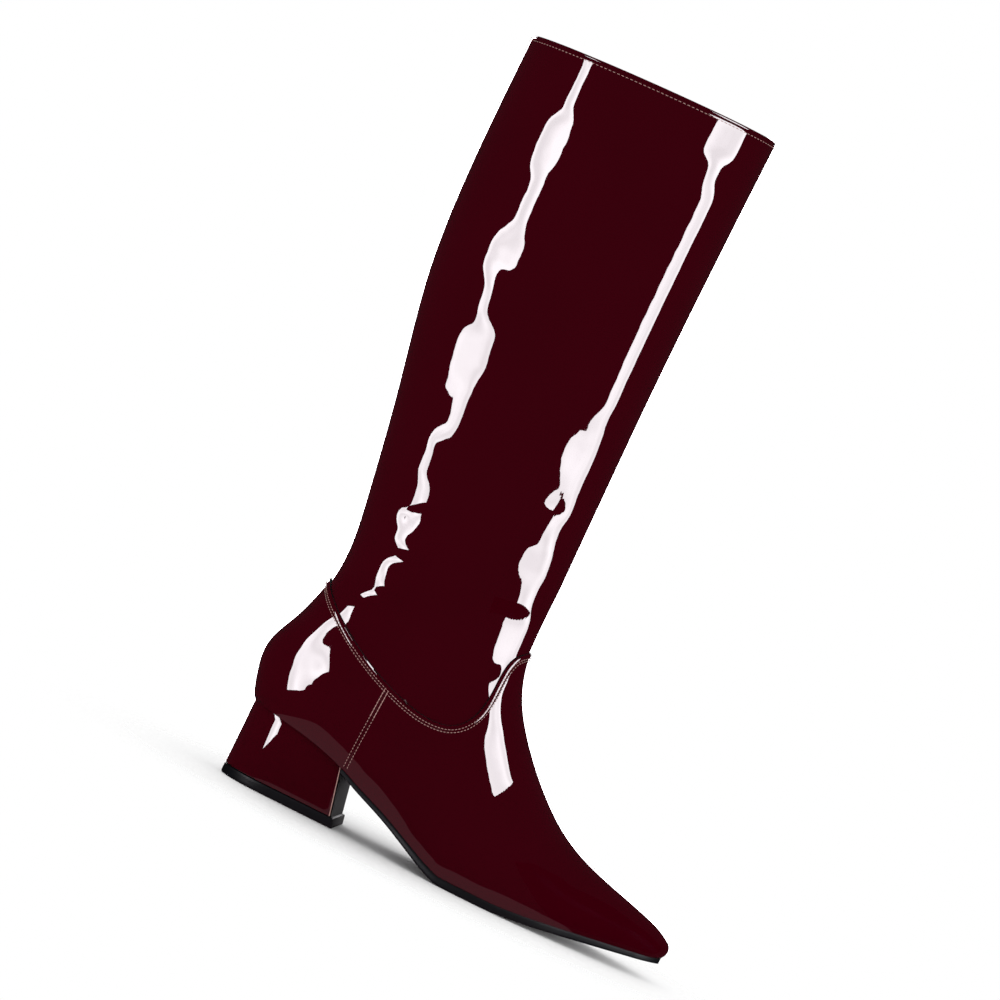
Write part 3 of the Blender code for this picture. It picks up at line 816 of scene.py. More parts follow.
class Line:
    """A line on one side of the skin, as sections and turns at an even step."""

    def __init__(self, t, turn, side, step=0.6):
        self.side = side
        length = running_length(smooth_skin(t, turn, side))
        even = np.linspace(0, length[-1], max(4, int(length[-1] / step)))
        self.t, self.turn = np.interp(even, length, t), np.interp(even, length, turn)
        self.length = even

    def frames(self, height=0.0):
        """Points at a height over the leather, directions along the line and normals."""
        points = raised(self.t, self.turn, self.side, np.zeros(len(self.t)) + height)
        along = np.gradient(points, axis=0)
        along /= np.maximum(np.linalg.norm(along, axis=1, keepdims=True), 1e-9)
        return points, along, normals(self.t, self.turn, self.side, skin)

    def beside(self, distance):
        """The line moved sideways, to the left of its direction as seen from outside."""
        _, along, normal = self.frames()
        across = np.cross(normal, along)
        t, turn = step_on_skin(self.t, self.turn, self.side, across * distance)
        return Line(t, turn, self.side)


def line_through(points, side, step=0.6):
    """Line through points (x, z) of the side view."""
    points = np.array(points, float)
    share = running_length(points)
    fine = np.linspace(0, share[-1], 300)
    x, z = (spline(share, points[:, k])(fine) for k in range(2))
    return Line(*find(x, z, side), side, step)


edges = {}
for side in (OUTER, INNER):
    shares = np.linspace(0, 1, 500)
    edges[side] = Line(edge_of[side][0](shares), edge_of[side][1](shares), side)
print("panel edge", [round(edges[side].length[-1]) for side in edges], "mm long")

# %% [markdown]
# ## Beads, bands and stitches
#
# A fold is a round bead along a line, and a turned-in edge under it shows as a flat band. A stitch is a
# short bead of its own. A curve with a round bevel makes the bead, a bent grid makes the band, and all
# stitches of a kind are copies of one small ball, joined in one mesh, because hundreds of objects would
# be slow to handle.

# %% Beads and bands


def add_tube(bm, points, radius, closed=False, resolution=2):
    """A round bead along points, added to a bmesh."""
    curve = bpy.data.curves.new("bead", "CURVE")
    curve.dimensions = "3D"
    curve.bevel_depth = radius * MM
    curve.bevel_resolution = resolution
    curve.use_fill_caps = not closed
    strand = curve.splines.new("POLY")
    strand.points.add(len(points) - 1)
    strand.points.foreach_set("co", np.append(in_metres(points), np.ones((len(points), 1)), 1).ravel())
    strand.use_cyclic_u = closed
    helper = bpy.data.objects.new("bead", curve)
    bpy.context.scene.collection.objects.link(helper)
    mesh = bpy.data.meshes.new_from_object(helper.evaluated_get(bpy.context.evaluated_depsgraph_get()))
    bm.from_mesh(mesh)
    bpy.data.objects.remove(helper)
    bpy.data.curves.remove(curve)
    bpy.data.meshes.remove(mesh)


def add_band(bm, frames, half_width, height, segments=10):
    """A flat, rounded band along the frames of a line, added to a bmesh."""
    points, along, normal = frames
    across = np.cross(normal, along)
    band = bmesh.new()
    bmesh.ops.create_grid(band, x_segments=len(points) - 1, y_segments=segments, size=0.5)
    at = np.array([vert.co[:] for vert in band.verts]) + 0.5
    k = np.round(at[:, 0] * (len(points) - 1)).astype(int)
    angle = 2 * math.pi * at[:, 1:2]
    placed = points[k] + across[k] * np.cos(angle) * half_width + normal[k] * np.sin(angle) * height
    for vert, co in zip(band.verts, in_metres(placed)):
        vert.co = co
    bmesh.ops.remove_doubles(band, verts=band.verts, dist=1e-6)
    bmesh.ops.holes_fill(band, edges=[edge for edge in band.edges if edge.is_boundary], sides=0)
    bmesh.ops.recalc_face_normals(band, faces=band.faces)
    mesh = bpy.data.meshes.new("band")
    band.to_mesh(mesh)
    band.free()
    bm.from_mesh(mesh)
    bpy.data.meshes.remove(mesh)


# %% Stitches


def beads_at(centres, along, normal, length, width, height):
    """Placements of small rounded beads that lie along a direction, such as stitches."""
    across = np.cross(normal, along)
    axes = np.stack([along * length, across * width, normal * height], 2) * MM / 2
    return [(in_metres(centre), axis) for centre, axis in zip(centres, axes)]


def at_pitch(frames, pitch):
    """Frames of a line at an even pitch."""
    run = running_length(frames[0])
    stops = np.arange(pitch / 2, run[-1], pitch)
    return [np.stack([np.interp(stops, run, values[:, k]) for k in range(3)], 1) for values in frames]


def stitches_along(line, height, pitch=1.9, length=1.4, width=0.46, thick=0.45):
    """Placements of a row of stitches along a line."""
    return beads_at(*at_pitch(line.frames(height), pitch), length, width, thick)


def join_beads(name, placements, materials):
    """One mesh of many beads, each a copy of one small ball."""
    bm = bmesh.new()
    bmesh.ops.create_uvsphere(bm, u_segments=6, v_segments=4, radius=1.0)
    ball = np.array([vert.co[:] for vert in bm.verts])
    faces = [[vert.index for vert in face.verts] for face in bm.faces]
    bm.free()
    corners = np.concatenate([ball @ axes.T + centre for centre, axes in placements])
    copies = [[k * len(ball) + i for i in face] for k in range(len(placements)) for face in faces]
    mesh = bpy.data.meshes.new(name)
    mesh.from_pydata(corners.tolist(), [], copies)
    bm = bmesh.new()
    bm.from_mesh(mesh)
    bpy.data.meshes.remove(mesh)
    return finish_piece(name, bm, materials)


# %% [markdown]
# ## The zip's slot
#
# The zip lies in a slot that runs from the middle of the shaft down over the foot panel. A boolean cut
# would upset the even grid, so every edge that crosses the slot's outline is split on the outline, the
# new corners are joined across the faces and the faces inside are taken out.

# %% Cut the slot
ZIP_LINE = np.array([(94.0, 41.5), (85.5, 80.4), (80.4, 121.0), (75.3, 175.0), (66.0, 261.0)])
ZIP_HALF = 4.2
FAR = 50.0
zip_x = spline(ZIP_LINE[:, 1], ZIP_LINE[:, 0])
ZIP_LOW, ZIP_HIGH = ZIP_LINE[0, 1], ZIP_LINE[-1, 1]


def cut_slot(piece):
    """Takes the zip's slot out of a panel's grid."""
    bm = bmesh.new()
    bm.from_mesh(piece.data)

    def outside(co):
        """Distance from the slot's outline in the side view, negative inside."""
        x, z = co.x / MM + CENTRE_X, co.z / MM
        if co.y < 0:
            return FAR
        beside = abs(x - zip_x(np.clip(z, ZIP_LOW, ZIP_HIGH))) - ZIP_HALF
        return max(beside, z - ZIP_HIGH, ZIP_LOW - z)

    level = {vert: outside(vert.co) for vert in bm.verts}
    crossing = [edge for edge in bm.edges if level[edge.verts[0]] * level[edge.verts[1]] < 0]
    rim = []
    for edge in crossing:
        a, b = edge.verts
        _, vert = bmesh.utils.edge_split(edge, a, level[a] / (level[a] - level[b]))
        level[vert] = 0.0
        rim.append(vert)
    bmesh.ops.connect_verts(bm, verts=rim)
    inside = [face for face in bm.faces if min(level[vert] for vert in face.verts) < -1e-9]
    bmesh.ops.delete(bm, geom=inside, context="FACES")
    bm.to_mesh(piece.data)
    bm.free()
    piece.data.shade_smooth()
    print(piece.name, "slot:", len(crossing), "edges cut,", len(inside), "faces taken out")


cut_slot(shaft)
cut_slot(foot)

# %% [markdown]
# ## Black paint
#
# Where leather or board is cut through, a maker paints the edge black, so that the pale core does not
# show. The heel's breast is covered with the same painted board. The same black also makes a thin bead
# of painted shade in the gap in front of the foot panel's fold. A plain black would look like a hole, so
# it has fibres.

# %% Black paint for the heel's breast, and for painted shade along the panel's edge


def make_facing():
    # dead black with a rough, fibrous face that hardly shines; it paints the breast's board, and it is
    # painted shade in the beads along the panel's edge
    material, shader = new_material("black_paint_for_board_and_shade")
    fibre, colour = mottled(material, 1.0, 4.0, "#040405", "#09090B")
    uneven = add_node(material, "ShaderNodeBump", inputs={
        "Height": (fibre, "Fac"), "Strength": 0.4, "Distance": 0.0002})
    set_inputs(material, shader, {
        "Base Color": (colour, "Result"), "Roughness": 0.85, "Specular IOR Level": 0.1,
        "Normal": (uneven, "Normal")})
    return material


facing = make_facing()
print("material", facing.name)

# %% [markdown]
# ## Folded edges
#
# A raw edge of patent leather shows its pale core, so it is folded under and sewn. The fold is round and
# catches the light as a thin line. A bevel on the panel's own edge could make it, but the panel's grid is
# too coarse, so it is a bead along the foot panel's edge, the collar and both sides of the zip.

# %% Folds along the panel's edge
# radius of the fold, and its height as a share of the panel's thickness
FOLD_RADIUS, FOLD_LIFT = 0.7, 0.45
# the turned-in edge behind the fold, and a black bead of painted shade in front of it, in the gap to the
# shaft
BAND_IN, BAND_HALF, BAND_HEIGHT, BAND_SUNK = 1.3, 1.6, 0.5, 0.1
EDGE_SHADE_OUT, EDGE_SHADE_RADIUS, EDGE_SHADE_LIFT = 0.6, 0.4, 0.2


def clear_of_zip(line, margin=0.6):
    """The stretches of a line that stay beside the zip's slot."""
    x, _, z = smooth_skin(line.t, line.turn, line.side).T
    over = np.flatnonzero(np.abs(x - zip_x(np.clip(z, ZIP_LOW, ZIP_HIGH))) < ZIP_HALF + margin)
    if line.side == OUTER or len(over) == 0:
        return [line]
    parts = slice(0, over[0]), slice(over[-1] + 1, None)
    return [Line(line.t[part], line.turn[part], line.side) for part in parts]


folds, painted_edge_shade = bmesh.new(), bmesh.new()
for side in (OUTER, INNER):
    for line in clear_of_zip(edges[side]):
        add_tube(folds, line.frames(PANEL_THICKNESS * FOLD_LIFT)[0], FOLD_RADIUS)
    for line in clear_of_zip(edges[side].beside(BAND_IN * side)):
        add_band(folds, line.frames(PANEL_THICKNESS - BAND_SUNK), BAND_HALF, BAND_HEIGHT)
    # a black bead just outside each panel edge is painted shade where the fold meets the shaft
    for line in clear_of_zip(edges[side].beside(-EDGE_SHADE_OUT * side)):
        add_tube(painted_edge_shade, line.frames(EDGE_SHADE_LIFT)[0], EDGE_SHADE_RADIUS)
print("beads of the panel's edge", len(folds.faces), "faces")

# %% Folds along the zip and the collar
ZIP_FOLD_RADIUS, ZIP_FOLD_OUT, ZIP_FOLD_LIFT, ZIP_FOLD_END = 0.75, 0.15, 0.15, 0.2
COLLAR_RADIUS, COLLAR_SUNK = 1.05, 1.0
# height where the zip's edges step up onto the foot panel, and how soon they have done so
PANEL_STEP_Z, PANEL_STEP_RUN = 82.5, 2.5


def panel_lift(z):
    """How much higher a zip's edge lies where it runs over the foot panel."""
    return PANEL_THICKNESS * np.clip((PANEL_STEP_Z - z) / PANEL_STEP_RUN, 0.0, 1.0)


def zip_side(offset, low=ZIP_LOW, high=ZIP_HIGH):
    """Line beside the zip's middle line."""
    z = np.linspace(low, high, 160)
    return Line(*find(zip_x(z) + offset, z, INNER), INNER)


for sign in (-1, 1):
    line = zip_side(sign * (ZIP_HALF + ZIP_FOLD_OUT))
    height = ZIP_FOLD_LIFT + panel_lift(smooth_skin(line.t, line.turn, INNER)[:, 2])
    add_tube(folds, line.frames(height)[0], ZIP_FOLD_RADIUS)
for z in (ZIP_LOW - ZIP_FOLD_END, ZIP_HIGH + ZIP_FOLD_END):
    reach = np.linspace(-ZIP_HALF, ZIP_HALF, 20)
    line = Line(*find(zip_x(np.clip(z, ZIP_LOW, ZIP_HIGH)) + reach, np.full(20, z), INNER), INNER)
    add_tube(folds, line.frames(ZIP_FOLD_LIFT + panel_lift(z))[0], ZIP_FOLD_RADIUS)
outer_turns = np.linspace(0, 1, 240)
rim_turn = np.concatenate([outer_turns, outer_turns[-2:0:-1]])
rim_side = np.where(np.arange(len(rim_turn)) < len(outer_turns), OUTER, INNER)
rim = raised(np.full(len(rim_turn), COLLAR_T), rim_turn, rim_side, np.full(len(rim_turn), -COLLAR_SUNK))
add_tube(folds, rim, COLLAR_RADIUS, closed=True, resolution=3)
finish_piece("folded_edges", folds, [patent])
# black beads of painted shade along the panel's edge
finish_piece("painted_edge_shade", painted_edge_shade, [facing])

# %% [markdown]
# ## Stitching
#
# The foot panel is sewn down with two close rows, the collar with one, and the zip with two rows on each
# side. On the outer side the counter's front edge is a narrow strip between two rows. A dashed texture
# would do from afar, but thread stands up and catches light. Each stitch is a bead of a few faces,
# because there are more than a thousand of them.

# %% Stitch rows of the panel, the counter and the collar
THREAD_LIFT = 0.05
# distance from the panel's edge and height over the panel
PANEL_ROWS_AT = (1.6, 0.42), (3.1, THREAD_LIFT)
ROW_MARGIN = 1.2
COUNTER_SEAM = [(71.5, 82.5), (71.0, 66.0), (70.3, 50.0), (69.6, 34.6)]
COUNTER_ROWS_AT, COUNTER_LIFT, HIGHLIGHT_ROW_LIFT = (-1.1, 1.1), 0.1, 0.15
COLLAR_ROW_AT = 2.1
stitches = []
for side in (OUTER, INNER):
    for distance, height in PANEL_ROWS_AT:
        for row in clear_of_zip(edges[side].beside(distance * side), ROW_MARGIN):
            stitches += stitches_along(row, PANEL_THICKNESS + height)
counter_line = line_through(COUNTER_SEAM, OUTER)
for distance in COUNTER_ROWS_AT:
    stitches += stitches_along(counter_line.beside(distance), PANEL_THICKNESS + COUNTER_LIFT)
# near the panel's edge a second row of longer, wider pale stitches lies over the first, as a painted
# highlight on the seam's raised edges
highlight_row = line_through(COUNTER_SEAM[:2], OUTER)
for distance in COUNTER_ROWS_AT:
    stitches += stitches_along(highlight_row.beside(distance), PANEL_THICKNESS + HIGHLIGHT_ROW_LIFT, length=2.2, width=0.6)
for side in (OUTER, INNER):
    collar_row = Line(np.full(len(outer_turns), COLLAR_T - COLLAR_ROW_AT), outer_turns, side)
    stitches += stitches_along(collar_row, THREAD_LIFT, pitch=2.6, length=1.8)
print("stitches so far", len(stitches))

# %% Stitch rows of the zip
ZIP_ROWS_AT, ZIP_ROW_DROP = (1.9, 4.6), 0.6
ZIP_FOOT, ZIP_FOOT_ROWS_AT = [(94.4, 40.5), (97.0, 32.5), (100.0, 24.6)], (-1.3, 1.3)
STRIP_RADIUS, STRIP_SUNK = 0.5, 0.15
for sign in (-1, 1):
    for distance in ZIP_ROWS_AT:
        low, high = ZIP_LOW - distance * ZIP_ROW_DROP, ZIP_HIGH + distance
        line = zip_side(sign * (ZIP_HALF + distance), low, high)
        height = THREAD_LIFT + panel_lift(smooth_skin(line.t, line.turn, INNER)[:, 2])
        stitches += stitches_along(line, height)
for distance in ZIP_ROWS_AT:
    reach = np.linspace(-ZIP_HALF - distance, ZIP_HALF + distance, 30)
    line = Line(*find(zip_x(ZIP_HIGH) + reach, np.full(30, ZIP_HIGH + distance), INNER), INNER)
    stitches += stitches_along(line, THREAD_LIFT)
zip_foot = line_through(ZIP_FOOT, INNER)
for distance in ZIP_FOOT_ROWS_AT:
    stitches += stitches_along(zip_foot.beside(distance), PANEL_THICKNESS + THREAD_LIFT)
join_beads("stitches", stitches, [thread])
strip = bmesh.new()
for line in (counter_line, zip_foot):
    add_tube(strip, line.frames(PANEL_THICKNESS - STRIP_SUNK)[0], STRIP_RADIUS)
finish_piece("counter_edge", strip, [patent])
print("stitches", len(stitches))

# %% [markdown]
# ## Zip
#
# The tape is a woven ribbon behind the slot, with a nylon coil sewn along each half by chain stitches.
# Closed, the two rows of chain stitches lie close side by side, and each link of a chain looks like a
# small arrow head. The coil itself is hidden, so only the ribbon and the links are made: a bent grid and
# many small beads.

# %% Zip materials


def make_tape_cloth():
    # dull and dark; the weave is drawn at 0.6 mm, coarser than real, so that it shows
    material, shader = new_material("zip_tape_woven_polyester")
    weave, colour = mottled(material, 0.6, 2.0, "#12060A", "#2E141A")
    bump = add_node(material, "ShaderNodeBump", inputs={
        "Height": (weave, "Fac"), "Strength": 0.6, "Distance": 0.0002})
    set_inputs(material, shader, {
        "Base Color": (colour, "Result"), "Roughness": 0.8, "Normal": (bump, "Normal")})
    return material


def make_chain_nylon():
    # lighter and shinier than the tape, with an uneven dye
    material, shader = new_material("zip_chain_nylon_dyed")
    _, colour = mottled(material, 1.0, 1.0, "#7A2434", "#A84A58")
    set_inputs(material, shader, {"Base Color": (colour, "Result"), "Roughness": 0.4})
    return material


def make_enamel():
    # a dark red paint over metal, less glossy than the leather and a little uneven
    material, shader = new_material("zip_slider_enamelled_metal")
    spots, colour = mottled(material, 2.0, 3.0, "#34040E", "#460A18")
    rough = add_node(material, "ShaderNodeMapRange", inputs={
        "Value": (spots, "Fac"), "To Min": 0.2, "To Max": 0.34})
    set_inputs(material, shader, {
        "Base Color": (colour, "Result"), "Roughness": (rough, "Result"), "Coat Weight": 0.5,
        "Coat Roughness": 0.15})
    return material


zip_tape_cloth, zip_chain, enamel = make_tape_cloth(), make_chain_nylon(), make_enamel()
print("materials", [m.name for m in (zip_tape_cloth, zip_chain, enamel)])

# %% Tape
TAPE_END, TAPE_MARGIN, TAPE_SUNK, TAPE_THICKNESS = 2.0, 1.2, 0.75, 0.8
tape = bmesh.new()
bmesh.ops.create_grid(tape, x_segments=10, y_segments=150, size=0.5)
at = np.array([vert.co[:] for vert in tape.verts])
tape_z = ZIP_LOW - TAPE_END + (ZIP_HIGH - ZIP_LOW + 2 * TAPE_END) * (at[:, 1] + 0.5)
tape_x = zip_x(np.clip(tape_z, ZIP_LOW, ZIP_HIGH)) + at[:, 0] * 2 * (ZIP_HALF + TAPE_MARGIN)
tape_t, tape_turn = find(tape_x, tape_z, INNER)
for vert, co in zip(tape.verts, in_metres(raised(tape_t, tape_turn, INNER, np.full(len(at), -TAPE_SUNK)))):
    vert.co = co
bmesh.ops.recalc_face_normals(tape, faces=tape.faces)
if max(tape.faces, key=lambda face: face.calc_area()).normal.y < 0:
    bmesh.ops.reverse_faces(tape, faces=tape.faces)
tape_piece = finish_piece("zip_tape_ribbon", tape, [zip_tape_cloth], replaces=["zip_tape"])
ribbon = tape_piece.modifiers.new("wall", "SOLIDIFY")
ribbon.thickness = TAPE_THICKNESS * MM
ribbon.offset = -1

# %% Chain stitches
LINK_PITCH, LINK_SUNK, LINK_ROWS_AT = 1.3, 0.35, (-1.25, 1.25)
# each link is two beads that meet in a point: their slant along and across the zip, shift and size
LINK_SLANT, LINK_SHIFT, LINK_SIZE = (0.72, 0.69), 0.36, (1.35, 0.62, 0.8)
CHAIN_LOW, CHAIN_HIGH = ZIP_LOW + 0.5, ZIP_HIGH - 2.0
chains = []
middle = zip_side(0.0, CHAIN_LOW, CHAIN_HIGH)
points, along, normal = at_pitch(middle.frames(-LINK_SUNK), LINK_PITCH)
across = np.cross(normal, along)
for row in LINK_ROWS_AT:
    for lean in (-1, 1):
        slant = along * LINK_SLANT[0] + across * lean * LINK_SLANT[1]
        chains += beads_at(points + across * (row - lean * LINK_SHIFT), slant, normal, *LINK_SIZE)
join_beads("zip_chains", chains, [zip_chain])

# %% [markdown]
# ## Slider and pull
#
# The slider is a die-cast plate with a bridge on top, and the pull's pin sits under the bridge. Both are
# enamelled in the leather's colour. Soft edges catch the light, so both are made again from bevelled
# cubes. They keep the CAD's sizes, because the pull turns on the CAD's hinge.

# %% Frame of the slider
SLIDER_Z = ZIP_HIGH - 9.0
SLIDER_LENGTH, SLIDER_WIDTH, SLIDER_HEIGHT, SLIDER_BASE = 13.0, 8.4, 2.4, -0.1
BRIDGE_LENGTH, BRIDGE_WIDTH, BRIDGE_HEIGHT, BRIDGE_BAR, BRIDGE_SUNK = 7.4, 3.4, 3.0, 1.0, 0.3
SLIDER_SOFT, POST_SOFT, BAR_SOFT = 0.8, 0.3, 0.35
# distances along and across the zip over which the slider's frame is measured
MEASURE_ALONG, MEASURE_ACROSS = 8.0, 4.0


def zip_point(offset, z):
    """Point of the plain form beside the zip's middle line."""
    t, turn = find(np.array([zip_x(z) + offset]), np.array([z]), INNER)
    return Vector(in_metres(smooth_skin(t, turn, INNER))[0])


def slider_axes():
    """Frame at the slider: x down the zip, y across it, z out of the boot."""
    low, high = zip_point(0, SLIDER_Z - MEASURE_ALONG), zip_point(0, SLIDER_Z + MEASURE_ALONG)
    heelwards, toewards = zip_point(-MEASURE_ACROSS, SLIDER_Z), zip_point(MEASURE_ACROSS, SLIDER_Z)
    down = (low - high).normalized()
    out = down.cross(toewards - heelwards).normalized()
    out = -out if out.y < 0 else out
    axes = Matrix((down, out.cross(down).normalized(), out)).transposed().to_4x4()
    axes.translation = zip_point(0, SLIDER_Z)
    return axes


slider_frame = slider_axes()
print("slider at", [round(c, 4) for c in slider_frame.translation])

# %% Slider


def add_block(bm, low, high, axes, bevel, segments=3):
    """A box with soft edges between two corners in a frame's millimetres."""
    low, high = Vector(low) * MM, Vector(high) * MM
    place = Matrix.Translation((low + high) / 2) @ Matrix.Diagonal((*(high - low), 1))
    made = bmesh.ops.create_cube(bm, size=1.0, matrix=place)
    edges = list({edge for vert in made["verts"] for edge in vert.link_edges})
    soft = bmesh.ops.bevel(bm, geom=edges, offset=bevel * MM, offset_type="OFFSET", segments=segments,
                           profile=0.5, affect="EDGES", material=-1)
    corners = {vert for face in soft["faces"] for vert in face.verts}
    corners |= {vert for vert in made["verts"] if vert.is_valid}
    bmesh.ops.transform(bm, matrix=axes, verts=list(corners))


slider = bmesh.new()
top = SLIDER_BASE + SLIDER_HEIGHT
half_length, half_width = SLIDER_LENGTH / 2, SLIDER_WIDTH / 2
corner = half_length, half_width, top
add_block(slider, (-half_length, -half_width, SLIDER_BASE), corner, slider_frame, SLIDER_SOFT)
half_bridge, reach = BRIDGE_LENGTH / 2, BRIDGE_WIDTH / 2
for sign in (-1, 1):
    ends = sorted((sign * half_bridge, sign * (half_bridge - BRIDGE_BAR)))
    low, high = (ends[0], -reach, top - BRIDGE_SUNK), (ends[1], reach, top + BRIDGE_HEIGHT)
    add_block(slider, low, high, slider_frame, POST_SOFT)
bar_low = -half_bridge, -reach, top + BRIDGE_HEIGHT - BRIDGE_BAR
add_block(slider, bar_low, (half_bridge, reach, top + BRIDGE_HEIGHT), slider_frame, BAR_SOFT)
finish_piece("slider", slider, [enamel], replaces=["zip_slider"])

# %% Pull, hanging from its pin
PULL_WIDTH, PULL_THICKNESS, PULL_HOLE, PULL_PLATE, PULL_PIN, PULL_BACK = 8.8, 1.2, 5.4, 19.0, 0.6, 0.65
# play beside the bridge, how far the arms run into the plate, and the soft edges of the arms and the plate
PULL_PLAY, PULL_LAP, ARM_SOFT, PLATE_SOFT = 0.2, 1.0, 0.3, 0.45
pivot = slider_frame @ Matrix.Translation((0, 0, (top + (BRIDGE_HEIGHT - BRIDGE_BAR) / 2) * MM))
down = pivot.to_3x3().inverted() @ Vector((0, 0, -1))
hang = pivot @ Matrix.Rotation(math.atan2(-down.z, down.x), 4, "Y")
pull = bmesh.new()
half, thick = PULL_WIDTH / 2, PULL_THICKNESS / 2
arm = half - BRIDGE_WIDTH / 2 - GAP - PULL_PLAY
for sign in (-1, 1):
    ends = sorted((sign * half, sign * (half - arm)))
    add_block(pull, (-PULL_BACK, ends[0], -thick), (PULL_HOLE + PULL_LAP, ends[1], thick), hang, ARM_SOFT)
add_block(pull, (PULL_HOLE, -half, -thick), (PULL_HOLE + PULL_PLATE, half, thick), hang, PLATE_SOFT)
across = Matrix.Rotation(math.pi / 2, 4, "X")
bmesh.ops.create_cone(pull, cap_ends=True, segments=16, radius1=PULL_PIN * MM, radius2=PULL_PIN * MM,
                      depth=(PULL_WIDTH - arm) * MM, matrix=hang @ across)
finish_piece("pull_tab", pull, [enamel], body="zip_pull", replaces=["zip_pull"])

# %% [markdown]
# ## Heel
#
# The block is cut from plastic and wrapped in the same patent leather; the wrap ends at the breast with a
# pale raw edge. A black top piece is nailed under it and stands a little proud in front. An extruded
# outline would have upright walls, and this heel tapers. So both are grids bent round the heel's outline,
# then closed above, below and at the breast.

# %% Heel's outline
LIFT_HEIGHT, LIFT_LEDGE, BREAST_FACING = 5.5, 1.5, 1.2
HEEL_TOP_X, HEEL_FLOOR_X = (5.0, 66.0), (4.8, 72.0)
# height over the floor and half-width: the wall leans in more below its upper third
HEEL_HALF = np.array([(5.5, 23.2), (15.0, 24.6), (25.0, 26.1), (31.0, 26.8), (38.0, 27.4), (45.0, 27.8)])
# length of the round back, and the power that makes it a little squarer than an ellipse
HEEL_DEPTH, HEEL_ROUND = 29.6, 2 / 2.3
heel_half_at = spline(HEEL_HALF[:, 0], HEEL_HALF[:, 1])


def heel_edges(height):
    """Back x, breast x and half-width of the heel at a height over the floor."""
    up = (height - LIFT_HEIGHT) / (seat_height(HEEL_TOP_X[1]) - LIFT_HEIGHT)
    back, breast = (floor + (top - floor) * up for floor, top in zip(HEEL_FLOOR_X, HEEL_TOP_X))
    return back, breast, heel_half_at(np.asarray(height, float))


def heel_outline(s, height, ledge=0.0):
    """Point of the heel's plan: s from the outer breast corner round the back to the inner one."""
    back, breast, half = heel_edges(height)
    quarter = HEEL_DEPTH * math.pi / 2
    run = np.abs(2 * s - 1) * (breast + ledge - back - HEEL_DEPTH + quarter)
    angle = np.clip(run / HEEL_DEPTH, 0.0, math.pi / 2)
    rounded = back + HEEL_DEPTH * (1 - np.clip(np.cos(angle), 0.0, 1.0) ** HEEL_ROUND)
    x = np.where(run < quarter, rounded, back + HEEL_DEPTH + run - quarter)
    return x, np.sign(2 * s - 1) * half * np.sin(angle) ** HEEL_ROUND


low_heel = [round(float(c), 1) for c in heel_edges(LIFT_HEIGHT)]
print("heel's back, breast and half-width over the top piece", low_heel)

# %% Heel block and top piece
HEEL_COLUMNS = 110
# faces that meet at more than this angle, in radians, get a soft edge
SOFTEN_ANGLE = 0.8
# faces whose normal has at least this share along x belong to the front of the top piece
FRONT_FACING = 0.6


def heel_wall(columns, rows, low, high, ledge=0.0, bevel=0.5):
    """A closed block with the heel's outline between two heights, which may vary along x."""
    bm = bmesh.new()
    bmesh.ops.create_grid(bm, x_segments=columns, y_segments=rows, size=0.5)
    at = np.array([vert.co[:] for vert in bm.verts]) + 0.5
    x, y = heel_outline(at[:, 0], LIFT_HEIGHT, ledge)
    for _ in range(4):
        height = low(x) + (high(x) - low(x)) * at[:, 1]
        x, y = heel_outline(at[:, 0], height, ledge)
    for vert, co in zip(bm.verts, in_metres(np.stack([x, y, height], 1))):
        vert.co = co
    ends = [edge for edge in bm.edges if edge.is_boundary
            and all(abs(at[vert.index, 0] - 0.5) > 0.499 for vert in edge.verts)]
    bmesh.ops.bridge_loops(bm, edges=ends)
    bmesh.ops.holes_fill(bm, edges=[edge for edge in bm.edges if edge.is_boundary], sides=0)
    bmesh.ops.recalc_face_normals(bm, faces=bm.faces)
    shared = [edge for edge in bm.edges if len(edge.link_faces) == 2]
    corners = [edge for edge in shared if edge.calc_face_angle() > SOFTEN_ANGLE]
    bmesh.ops.bevel(bm, geom=corners, offset=bevel * MM, offset_type="OFFSET", segments=3, profile=0.5,
                    affect="EDGES", material=-1, clamp_overlap=True)
    return bm


block = heel_wall(HEEL_COLUMNS, 14, lambda x: LIFT_HEIGHT + GAP + 0 * x, lambda x: seat_height(x) - GAP)
finish_piece("heel_wrap", block, [patent], replaces=["heel_block"])
ledge = LIFT_LEDGE + BREAST_FACING
lift = heel_wall(HEEL_COLUMNS, 3, lambda x: 0 * x, lambda x: LIFT_HEIGHT + 0 * x, ledge, bevel=0.6)
for face in lift.faces:
    face.material_index = int(face.normal.x > FRONT_FACING)
finish_piece("top_piece", lift, [rubber, facing], replaces=["heel_lift"])

# %% [markdown]
# ## Raw edge of the wrap
#
# The wrap's leather is cut off flush with the breast, and its pale core shows there as a fine line on
# each side. It is thinner than a face of the heel's grid, so it is a bead laid along the corner.

# %% Raw edge of the heel's wrap


def make_raw_edge():
    # pale pink fibres, matte
    material, shader = new_material("leather_raw_edge_waxed")
    _, colour = mottled(material, 1.5, 3.0, "#8A5A54", "#C49A90")
    set_inputs(material, shader, {"Base Color": (colour, "Result"), "Roughness": 0.7})
    return material


raw_edge = make_raw_edge()
RAW_RADIUS, RAW_LOW, RAW_HIGH, RAW_OUT, RAW_IN = 0.28, 0.6, 1.2, 0.1, 0.2
rim = bmesh.new()
for sign in (-1, 1):
    heights = np.linspace(LIFT_HEIGHT + RAW_LOW, seat_height(HEEL_TOP_X[1]) - RAW_HIGH, 30)
    _, breast, half = heel_edges(heights)
    add_tube(rim, np.stack([breast + RAW_OUT, sign * (half - RAW_IN), heights], 1), RAW_RADIUS)
finish_piece("wrap_edge", rim, [raw_edge])

# %% [markdown]
# ## Sole
#
# The outsole is a thin sheet of black rubber that follows the arch and the toe's spring. Its edge is
# trimmed and slightly round, so its upper corner shows as a fine light line under the leather. A finely
# cut cube, bent to the CAD's plan, gives that round edge.

# %% Outsole
SOLE_OVERHANG, SOLE_TOE_TRIM, SOLE_EDGE_ROUND = 1.5, 0.2, 0.5
SOLE_BREAST_GAP = 1.6
SOLE_HEEL_X = HEEL_TOP_X[1] + SOLE_BREAST_GAP


